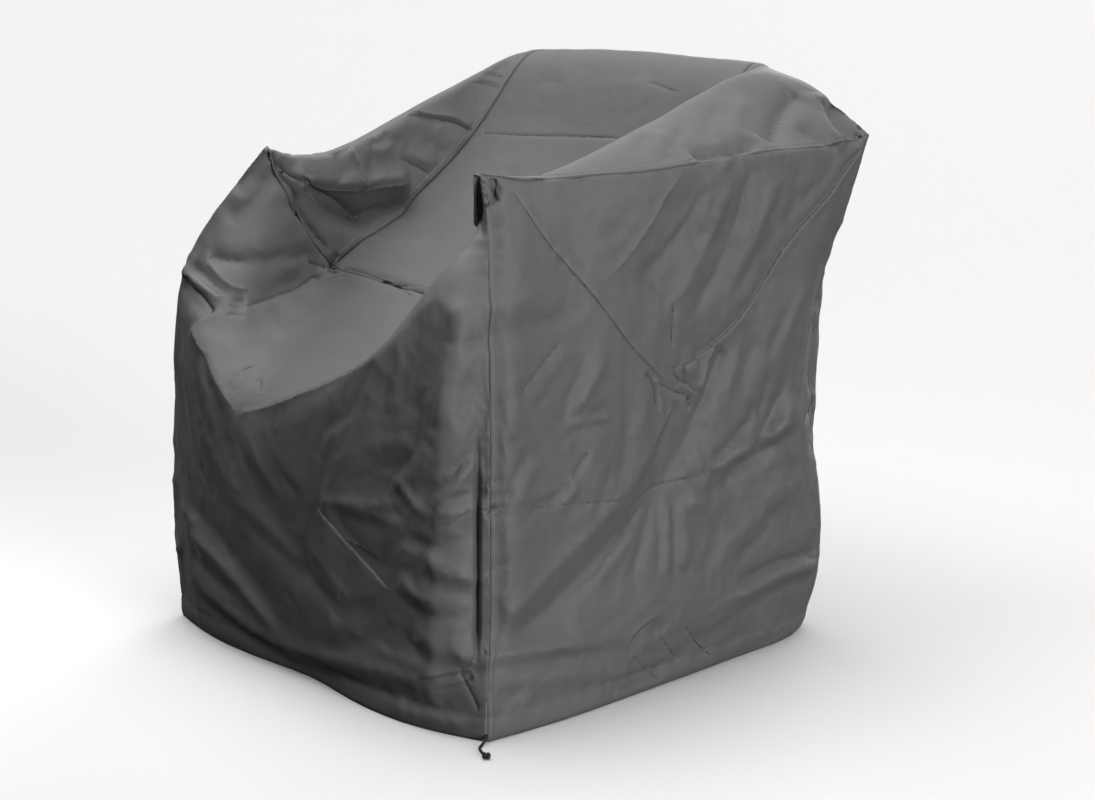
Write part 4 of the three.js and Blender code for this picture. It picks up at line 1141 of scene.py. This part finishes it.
def hem_lift(skin):
    """How far each point rises where the hem's tunnel swells, and gathers along its stitches."""
    above = skin.points[:, 2]
    inside = np.clip(1 - above / HEM_TUNNEL, 0, 1)
    roll = HEM_ROLL * np.sin(math.pi * np.clip(above / HEM_TUNNEL, 0, 1)) ** 0.7
    rows = np.flatnonzero(above < HEM_TUNNEL * 2.5)
    gathers = np.zeros(len(above))
    drawn = skin.points[rows] * (1, 1, HEM_STRETCH)
    reach = np.exp(-np.abs(above[rows] - HEM_TUNNEL) / HEM_PUCKER_LENGTH)
    gathers[rows] = noise_at(drawn, HEM_PUCKER_LENGTH, 3) * reach
    lift = np.where(above < HEM_TUNNEL, roll * (1 - 0.4 * inside), 0) + HEM_PUCKER * gathers
    return lift - SEAM_SINK * np.exp(-((above - HEM_TUNNEL) / HEM_SINK_WIDTH) ** 2)


def crumple_lift(skin):
    """How far each point rises in the cloth's slight waves and in the creases all over it."""
    lift = np.zeros(len(skin.points))
    for number, (length, height) in enumerate(CLOTH_WAVES):
        lift += height * noise_at(skin.points, length, 4 + number)
    amount = by_panel(skin, CREASED) * (1 - levelness(skin.normals()) * (1 - LEVEL_SHARE))
    amount *= 0.4 + 2.4 * np.abs(noise_at(skin.points, CREASE_PATCH, 11))
    for number, (length, height) in enumerate(CLOTH_CREASES):
        bent = skin.points + CREASE_BEND * length * np.stack(
            [noise_at(skin.points, length * 1.5, 20 + number * 3 + axis) for axis in range(3)], axis=1
        )
        lift += amount * height * (0.3 - np.abs(noise_at(bent, length, 8 + number))) * 1.5
    return lift


lift = seam_lift(skin) + hem_lift(skin) + crumple_lift(skin)
ground = np.clip((skin.points[:, 2] - GROUND_CLEAR) / GROUND_FADE, 0, 1)
skin.points += skin.normals() * (lift * ground)[:, None]

# ---- Felled seams, stitches and the panels themselves ----------------------------------------------
# A felled seam shows as a flat band of double cloth on one of its panels. The stitches are of grey
# polyester thread, in two rows along each band and one row along the top of the hem's tunnel.

CLOTH_THICKNESS = 0.0011
BAND_ROWS = [                 # across a band: distance from the seam, height above the cloth
    (0.0006, 0.0001), (0.0014, 0.0006), (0.0035, 0.0008), (0.0060, 0.0007), (0.0085, 0.0008),
    (0.0108, 0.0007), (0.0116, 0.0004), (0.0121, -0.0003),
]
STITCH_ROWS = (0.0024, 0.0096)
STITCH_RISE = 0.0009
HEM_STITCH_RISE = 0.0003
LEAST_SPAN = 0.8              # a band ends where the panel is narrower than this share of its width
SEWN_STEP = 0.003             # between the places that a seam or hem is followed through
SIDE_TEST = 0.004             # how far aside a place is tried, to see on which side the panel lies
FULL_BULGE = 28.0             # per metre, where a ridge is rubbed the palest and a crease gets the darkest painted shade
BAND_WORN = 0.25              # how rubbed a band is


class Panel:
    """One panel's own triangles, with the ways to walk over them and to read its cut."""

    def __init__(self, skin, number, normals):
        rows = skin.panel == number
        self.number = number
        self.used, inverse = np.unique(skin.triangles[rows], return_inverse=True)
        self.triangles = inverse.reshape(-1, 3)
        self.cut = skin.cut[rows]
        self.points = skin.points[self.used]
        self.normals = normals[self.used]
        self.tree = BVHTree.FromPolygons(self.points.tolist(), self.triangles.tolist())

    def cut_at(self, place):
        """The place in the panel's cut that lies nearest to this one."""
        hit, _, index, _ = self.tree.find_nearest(place)
        corners = [Vector(self.points[k]) for k in self.triangles[index]]
        flat = [Vector((*corner, 0)) for corner in self.cut[index]]
        return barycentric_transform(hit, *corners, *flat)[:2]

    def inward(self, line):
        """For an ordered line on the border, the sidewise directions that lead into the panel."""
        ahead = np.gradient(line, axis=0)
        ahead /= np.linalg.norm(ahead, axis=1)[:, None]
        found = [self.tree.find_nearest(place) for place in line]
        up = np.array([normal for _, normal, _, _ in found])
        aside = np.cross(up, ahead)
        aside /= np.linalg.norm(aside, axis=1)[:, None]
        reach = sum(self.tree.find_nearest(place)[3] for place in line + aside * SIDE_TEST)
        other = sum(self.tree.find_nearest(place)[3] for place in line - aside * SIDE_TEST)
        return aside if reach < other else -aside

    def walk(self, line, distances):
        """Places on the panel at these distances from its border line, with the normals there."""
        places, normals = [], []
        for start, aside in zip(line, self.inward(line)):
            place, aside, done, row = Vector(start), Vector(aside), 0, []
            for distance in distances:
                hit, normal, _, _ = self.tree.find_nearest(place + aside * (distance - done))
                aside = (aside - normal * aside.dot(normal)).normalized()
                place, done = hit, distance
                row.append((hit, normal))
            places.append([hit for hit, _ in row])
            normals.append([normal for _, normal in row])
        return np.array(places), np.array(normals)


def evened(line, rounds=2):
    """The line with its small kinks drawn out."""
    for _ in range(rounds):
        line[1:-1] = (line[:-2] + line[1:-1] * 2 + line[2:]) / 4
    return line


def band_of(panel, line):
    """A felled band's points, faces and places in the cut, and its two rows of stitches."""
    distances = sorted([distance for distance, _ in BAND_ROWS] + list(STITCH_ROWS))
    places, normals = panel.walk(line, distances)
    span = np.linalg.norm(places[:, -1] - line, axis=1)
    wide = span > LEAST_SPAN * distances[-1]
    places, normals = places[wide], normals[wide]
    rises = dict(BAND_ROWS)
    rows = [distances.index(distance) for distance in rises]
    lift = np.array([rises[distance] for distance in rises])
    points = places[:, rows] + normals[:, rows] * lift[:, None]
    width = len(rows)
    last = (len(points) - 1) * width
    faces = []
    for i in range(0, last, width):
        for k in range(width):
            after = (k + 1) % width
            faces.append((i + k, i + after, i + width + after, i + width + k))
    faces += [tuple(range(width - 1, -1, -1)), tuple(range(last, last + width))]
    a, b, c = points[0, 2], points[0, 3], points[1, 3]
    if np.dot(np.cross(b - a, c - b), normals[0, 2]) < 0:
        faces = [face[::-1] for face in faces]
    cut = [panel.cut_at(place) for place in places[:, rows].reshape(-1, 3)]
    sewn = [distances.index(distance) for distance in STITCH_ROWS]
    stitches = [places[:, row] + normals[:, row] * STITCH_RISE for row in sewn]
    return points.reshape(-1, 3), faces, cut, stitches


def convexity(skin, normals):
    """How far each place bulges, from -1 in a crease to 1 on a ridge."""
    edges, _, _ = skin.edges()
    both = np.concatenate([edges, edges[:, ::-1]])
    number = np.bincount(both[:, 0], minlength=len(skin.points))
    length = np.bincount(both[:, 0], np.tile(skin.lengths(edges), 2), minlength=len(skin.points))
    length /= number

    def around(values):
        return np.bincount(both[:, 0], values[both[:, 1]], minlength=len(values)) / number

    mean = np.stack([around(skin.points[:, axis]) for axis in range(3)], axis=1)
    bulge = ((skin.points - mean) * normals).sum(1) / length ** 2 / FULL_BULGE
    for _ in range(2):
        bulge = (bulge + around(bulge)) / 2
    return np.clip(bulge, -1, 1)


# The cloth: grey plain weave, 0.8 mm from yarn to yarn, with slubs along the yarns, a dull coating,
# a little rubbed pale on the ridges of its folds as wear, and painted shade darkening its creases.

YARN = 0.0008
WAVE_PERIOD = 0.314           # of Blender's wave texture at a scale of 1
CLOTH_DARK = (0.108, 0.108, 0.111, 1)
CLOTH_LIGHT = (0.150, 0.150, 0.153, 1)
SLUB_STRETCH = (900, 14)      # per metre, across a yarn and along it
# Tone shares: the rubbed share pales ridges as wear and darkens creases as painted shade.
TONE_SHARES = {"wear_and_crease_shade_tone": 0.22, "slubs": 0.45, "patches": 0.35, "weave": 0.25}
CRUMPLE_HEIGHT = 0.0012
GRAIN_HEIGHT = 0.00012


def noise_over(nodes, tree, places, scale, detail, stretch=(1, 1, 1)):
    """A noise texture's output at these places, stretched along the axes."""
    mapping = nodes.new("ShaderNodeMapping")
    mapping.inputs["Scale"].default_value = stretch
    texture = nodes.new("ShaderNodeTexNoise")
    texture.inputs["Scale"].default_value = scale
    texture.inputs["Detail"].default_value = detail
    link(tree, places, mapping.inputs["Vector"])
    link(tree, mapping.outputs["Vector"], texture.inputs["Vector"])
    return texture.outputs["Fac"]


def combined(nodes, tree, operation, *values):
    """The output of a math node whose inputs are numbers or other nodes' outputs."""
    node = nodes.new("ShaderNodeMath")
    node.operation = operation
    for socket, value in zip(node.inputs, values):
        if isinstance(value, (int, float)):
            socket.default_value = value
        else:
            link(tree, value, socket)
    return node.outputs["Value"]


def woven_cloth():
    """The panels' material, laid out over each panel's cut in metres."""
    material = bpy.data.materials.new("woven polyester")
    material.use_nodes = True
    tree = material.node_tree
    nodes = tree.nodes
    shader = nodes["Principled BSDF"]
    cut = nodes.new("ShaderNodeUVMap")
    cut.uv_map = "cut"
    places = cut.outputs["UV"]

    yarns = []
    for direction in ("X", "Y"):
        wave = nodes.new("ShaderNodeTexWave")
        wave.bands_direction = direction
        wave.inputs["Scale"].default_value = WAVE_PERIOD / YARN
        wave.inputs["Distortion"].default_value = 0.8
        wave.inputs["Detail"].default_value = 1
        wave.inputs["Detail Scale"].default_value = 0.3
        link(tree, places, wave.inputs["Vector"])
        yarns.append(wave.outputs["Fac"])
    weave = combined(nodes, tree, "MULTIPLY", *yarns)

    across_yarn, along_yarn = SLUB_STRETCH
    warp_slubs = noise_over(nodes, tree, places, 1.0, 3, (across_yarn, along_yarn, 1))
    weft_slubs = noise_over(nodes, tree, places, 1.0, 3, (along_yarn, across_yarn, 1))
    slubs = combined(nodes, tree, "ADD", warp_slubs, weft_slubs)
    patches = noise_over(nodes, tree, places, 9, 5)
    # The bulge attribute: ridges paler as rubbed wear, creases darker as painted shade.
    worn = nodes.new("ShaderNodeAttribute")
    worn.attribute_name = "worn"
    wear_and_crease_shade_tone = combined(nodes, tree, "MULTIPLY", worn.outputs["Fac"], TONE_SHARES["wear_and_crease_shade_tone"])
    tone = combined(nodes, tree, "MULTIPLY_ADD", slubs, TONE_SHARES["slubs"], wear_and_crease_shade_tone)
    tone = combined(nodes, tree, "MULTIPLY_ADD", patches, TONE_SHARES["patches"], tone)
    tone = combined(nodes, tree, "MULTIPLY_ADD", weave, TONE_SHARES["weave"], tone)
    shade = nodes.new("ShaderNodeValToRGB")
    shade.color_ramp.elements[0].position = 0.3
    shade.color_ramp.elements[0].color = CLOTH_DARK
    shade.color_ramp.elements[1].position = 1.0
    shade.color_ramp.elements[1].color = CLOTH_LIGHT
    link(tree, tone, shade.inputs["Fac"])
    link(tree, shade.outputs["Color"], shader.inputs["Base Color"])

    dull = nodes.new("ShaderNodeMapRange")
    dull.inputs["To Min"].default_value = 0.48
    dull.inputs["To Max"].default_value = 0.64
    link(tree, patches, dull.inputs["Value"])
    link(tree, dull.outputs["Result"], shader.inputs["Roughness"])
    shader.inputs["Sheen Weight"].default_value = 0.12
    shader.inputs["Sheen Roughness"].default_value = 0.45

    crumple = nodes.new("ShaderNodeBump")
    crumple.inputs["Distance"].default_value = CRUMPLE_HEIGHT
    crumple.inputs["Strength"].default_value = 0.5
    link(tree, noise_over(nodes, tree, places, 55, 4), crumple.inputs["Height"])
    grain = nodes.new("ShaderNodeBump")
    grain.inputs["Distance"].default_value = GRAIN_HEIGHT
    grain.inputs["Strength"].default_value = 0.6
    link(tree, weave, grain.inputs["Height"])
    link(tree, crumple.outputs["Normal"], grain.inputs["Normal"])
    link(tree, grain.outputs["Normal"], shader.inputs["Normal"])
    return material


# One stitch is a short straight thread, and the group lays one at every step along each line.

STITCH_STEP = 0.0038
STITCH_LENGTH = 0.0028
THREAD_RADIUS = 0.00026
THREAD_SIDES = 6
STITCH_SIZES = (0.85, 1.12)   # shares of the full size, from the smallest stitch to the largest


def stitching():
    """The node group that lays stitches along lines."""
    tree = bpy.data.node_groups.new("stitching", "GeometryNodeTree")
    for name, kind in (
        ("Lines", "NodeSocketGeometry"), ("Step", "NodeSocketFloat"), ("Length", "NodeSocketFloat"),
        ("Thread radius", "NodeSocketFloat"), ("Thread", "NodeSocketMaterial"), ("Seed", "NodeSocketInt"),
    ):
        tree.interface.new_socket(name, in_out="INPUT", socket_type=kind)
    tree.interface.new_socket("Stitches", in_out="OUTPUT", socket_type="NodeSocketGeometry")
    given = tree.nodes.new("NodeGroupInput")
    result = tree.nodes.new("NodeGroupOutput")
    curves = tree.nodes.new("GeometryNodeMeshToCurve")
    steps = tree.nodes.new("GeometryNodeResampleCurve")
    steps.mode = "LENGTH"
    ahead = tree.nodes.new("GeometryNodeInputTangent")
    turned = tree.nodes.new("FunctionNodeAlignRotationToVector")
    turned.axis = "Z"
    stitch = tree.nodes.new("GeometryNodeMeshCylinder")
    stitch.inputs["Vertices"].default_value = THREAD_SIDES
    uneven = tree.nodes.new("FunctionNodeRandomValue")
    uneven.data_type = "FLOAT"
    uneven.inputs[2].default_value, uneven.inputs[3].default_value = STITCH_SIZES
    placed = tree.nodes.new("GeometryNodeInstanceOnPoints")
    real = tree.nodes.new("GeometryNodeRealizeInstances")
    coloured = tree.nodes.new("GeometryNodeSetMaterial")
    link(tree, given.outputs["Lines"], curves.inputs["Mesh"])
    link(tree, curves.outputs["Curve"], steps.inputs["Curve"])
    link(tree, given.outputs["Step"], steps.inputs["Length"])
    link(tree, ahead.outputs["Tangent"], turned.inputs["Vector"])
    link(tree, given.outputs["Length"], stitch.inputs["Depth"])
    link(tree, given.outputs["Thread radius"], stitch.inputs["Radius"])
    link(tree, given.outputs["Seed"], uneven.inputs["Seed"])
    link(tree, steps.outputs["Curve"], placed.inputs["Points"])
    link(tree, stitch.outputs["Mesh"], placed.inputs["Instance"])
    link(tree, turned.outputs["Rotation"], placed.inputs["Rotation"])
    link(tree, uneven.outputs[1], placed.inputs["Scale"])
    link(tree, placed.outputs["Instances"], real.inputs["Geometry"])
    link(tree, real.outputs["Geometry"], coloured.inputs["Geometry"])
    link(tree, given.outputs["Thread"], coloured.inputs["Material"])
    link(tree, coloured.outputs["Geometry"], result.inputs["Stitches"])
    return tree


def sewn_along(name, lines, group, material, seed):
    """A piece of stitches along the lines, laid by the group and made real."""
    points, edges = [], []
    for line in lines:
        first = len(points)
        points += [tuple(point) for point in line]
        edges += [(first + k, first + k + 1) for k in range(len(line) - 1)]
    mesh = bpy.data.meshes.new(name + "_lines")
    mesh.from_pydata(points, edges, [])
    guide = bpy.data.objects.new(name + "_lines", mesh)
    bpy.context.scene.collection.objects.link(guide)
    modifier = guide.modifiers.new("stitching", "NODES")
    modifier.node_group = group
    values = {
        "Step": STITCH_STEP, "Length": STITCH_LENGTH, "Thread radius": THREAD_RADIUS,
        "Thread": material, "Seed": seed,
    }
    for socket in group.interface.items_tree:
        if socket.name in values:
            modifier[socket.identifier] = values[socket.name]
    finished = guide.evaluated_get(bpy.context.evaluated_depsgraph_get())
    piece = bpy.data.objects.new(name, bpy.data.meshes.new_from_object(finished))
    piece.data.name = name
    bpy.context.scene.collection.objects.link(piece)
    bpy.data.objects.remove(guide)
    return piece


def cloth_piece(panel, worn, bands, material):
    """The panel as a closed thin shell, with its felled bands on it."""
    count = len(panel.points)
    ends = np.concatenate([panel.triangles[:, [k, (k + 1) % 3]] for k in range(3)])
    codes = np.sort(ends, axis=1) @ [count, 1]
    _, index, uses = np.unique(codes, return_inverse=True, return_counts=True)
    rim = ends[uses[index] == 1]
    owner = np.tile(np.arange(len(panel.triangles)), 3)[uses[index] == 1]
    corner = np.repeat(np.arange(3), len(panel.triangles))[uses[index] == 1]
    inner = panel.points - panel.normals * CLOTH_THICKNESS
    verts = np.concatenate([panel.points, inner] + [band[0] for band in bands])
    faces = panel.triangles.tolist() + (panel.triangles[:, ::-1] + count).tolist()
    faces += [(b, a, a + count, b + count) for a, b in rim.tolist()]
    cut = [panel.cut.reshape(-1, 2), panel.cut[:, ::-1].reshape(-1, 2)]
    start, end = panel.cut[owner, corner], panel.cut[owner, (corner + 1) % 3]
    cut.append(np.stack([end, start, start, end], axis=1).reshape(-1, 2))
    first = 2 * count
    shares = [worn, worn]
    for points, band_faces, band_cut, _ in bands:
        faces += [tuple(first + k for k in face) for face in band_faces]
        cut.append(np.array([band_cut[k] for face in band_faces for k in face]))
        shares.append(np.full(len(points), BAND_WORN))
        first += len(points)
    piece = new_piece(PANELS[panel.number] + "_cloth", verts.tolist(), faces, material)
    layer = piece.data.uv_layers.new(name="cut")
    layer.uv.foreach_set("vector", np.concatenate(cut).ravel())
    # Stored bulge: rubbed wear on ridges and bands, painted shade in creases.
    attribute = piece.data.attributes.new("worn", "FLOAT", "POINT")
    attribute.data.foreach_set("value", np.concatenate(shares))
    return piece


woven = woven_cloth()
thread = speckled("sewing thread", 900, (0.07, 0.07, 0.072, 1), (0.16, 0.16, 0.163, 1), 0.6)
group = stitching()
normals = skin.normals()
# Paler on ridges as rubbed wear, darker in creases as painted shade.
worn = convexity(skin, normals)
lines = seam_lines(skin)
for number, name in enumerate(PANELS):
    panel = Panel(skin, number, normals)
    bands = []
    for first, second in SEAMS:
        if first == name:
            pair = tuple(sorted((number, PANELS.index(second))))
            line = np.array(smooth_line(skin.points[lines[pair]], SEWN_STEP))
            bands.append(band_of(panel, evened(line)))
    sewn = [row for band in bands for row in band[3]]
    if (number, OPEN) in lines:
        hem = np.array(smooth_line(skin.points[lines[number, OPEN]], SEWN_STEP))
        places, outward = panel.walk(evened(hem), [0.01, 0.02, HEM_TUNNEL])
        sewn.append(places[:, -1] + outward[:, -1] * HEM_STITCH_RISE)
    piece = cloth_piece(panel, worn[panel.used], bands, woven)
    stitches = sewn_along(name + "_stitches", sewn, group, thread, number) if sewn else None
    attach(piece, "root")
    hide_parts(name)
    if stitches:
        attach(stitches, "root")

# ---- Floor and light --------------------------------------------------------------------------
# A pale paper floor under soft daylight. Low lights stand to the right and behind, high ones to the
# left and overhead, a soft box hangs over the front of the seat, and the room adds a little.

FLOOR_HALF = 30.0
LIGHTS = [
    # turn from the front towards the right side, height, how wide it spreads, and strength
    ("right light", 86, 10, 28, 2.25),
    ("rear light", 200, 15, 45, 1.5),
    ("left light", 265, 58, 70, 1.1),
    ("top light", 330, 85, 80, 1.3),
]
BOX_LIGHT = (-0.05, -0.32, 1.72)
BOX_SIZE = 0.6
BOX_WATTS = 6.6
ROOM_LIGHT = 0.03

paper = bpy.data.materials.new("pale paper")
paper.use_nodes = True
paper.node_tree.nodes["Principled BSDF"].inputs["Base Color"].default_value = (0.9, 0.9, 0.9, 1)
paper.node_tree.nodes["Principled BSDF"].inputs["Roughness"].default_value = 0.9
corners = [(x * FLOOR_HALF, y * FLOOR_HALF, 0) for x, y in ((-1, -1), (1, -1), (1, 1), (-1, 1))]
floor = new_piece("floor", corners, [(0, 1, 2, 3)], paper)
floor.visible_diffuse = False
floor.visible_glossy = False

for name, turn, height, spread, strength in LIGHTS:
    data = bpy.data.lights.new(name, "SUN")
    data.energy = strength
    data.angle = math.radians(spread)
    light = bpy.data.objects.new(name, data)
    turn, height = math.radians(turn), math.radians(height)
    towards = Vector((
        math.sin(turn) * math.cos(height), -math.cos(turn) * math.cos(height), math.sin(height),
    ))
    light.rotation_euler = towards.to_track_quat("Z", "Y").to_euler()
    bpy.context.scene.collection.objects.link(light)

box_data = bpy.data.lights.new("box light", "AREA")
box_data.energy = BOX_WATTS
box_data.size = BOX_SIZE
box_light = bpy.data.objects.new("box light", box_data)
box_light.location = BOX_LIGHT
bpy.context.scene.collection.objects.link(box_light)

world = bpy.data.worlds.new("studio")
world.use_nodes = True
world.node_tree.nodes["Background"].inputs["Color"].default_value = (1, 1, 1, 1)
world.node_tree.nodes["Background"].inputs["Strength"].default_value = ROOM_LIGHT
bpy.context.scene.world = world
bpy.context.scene.view_settings.view_transform = "Standard"
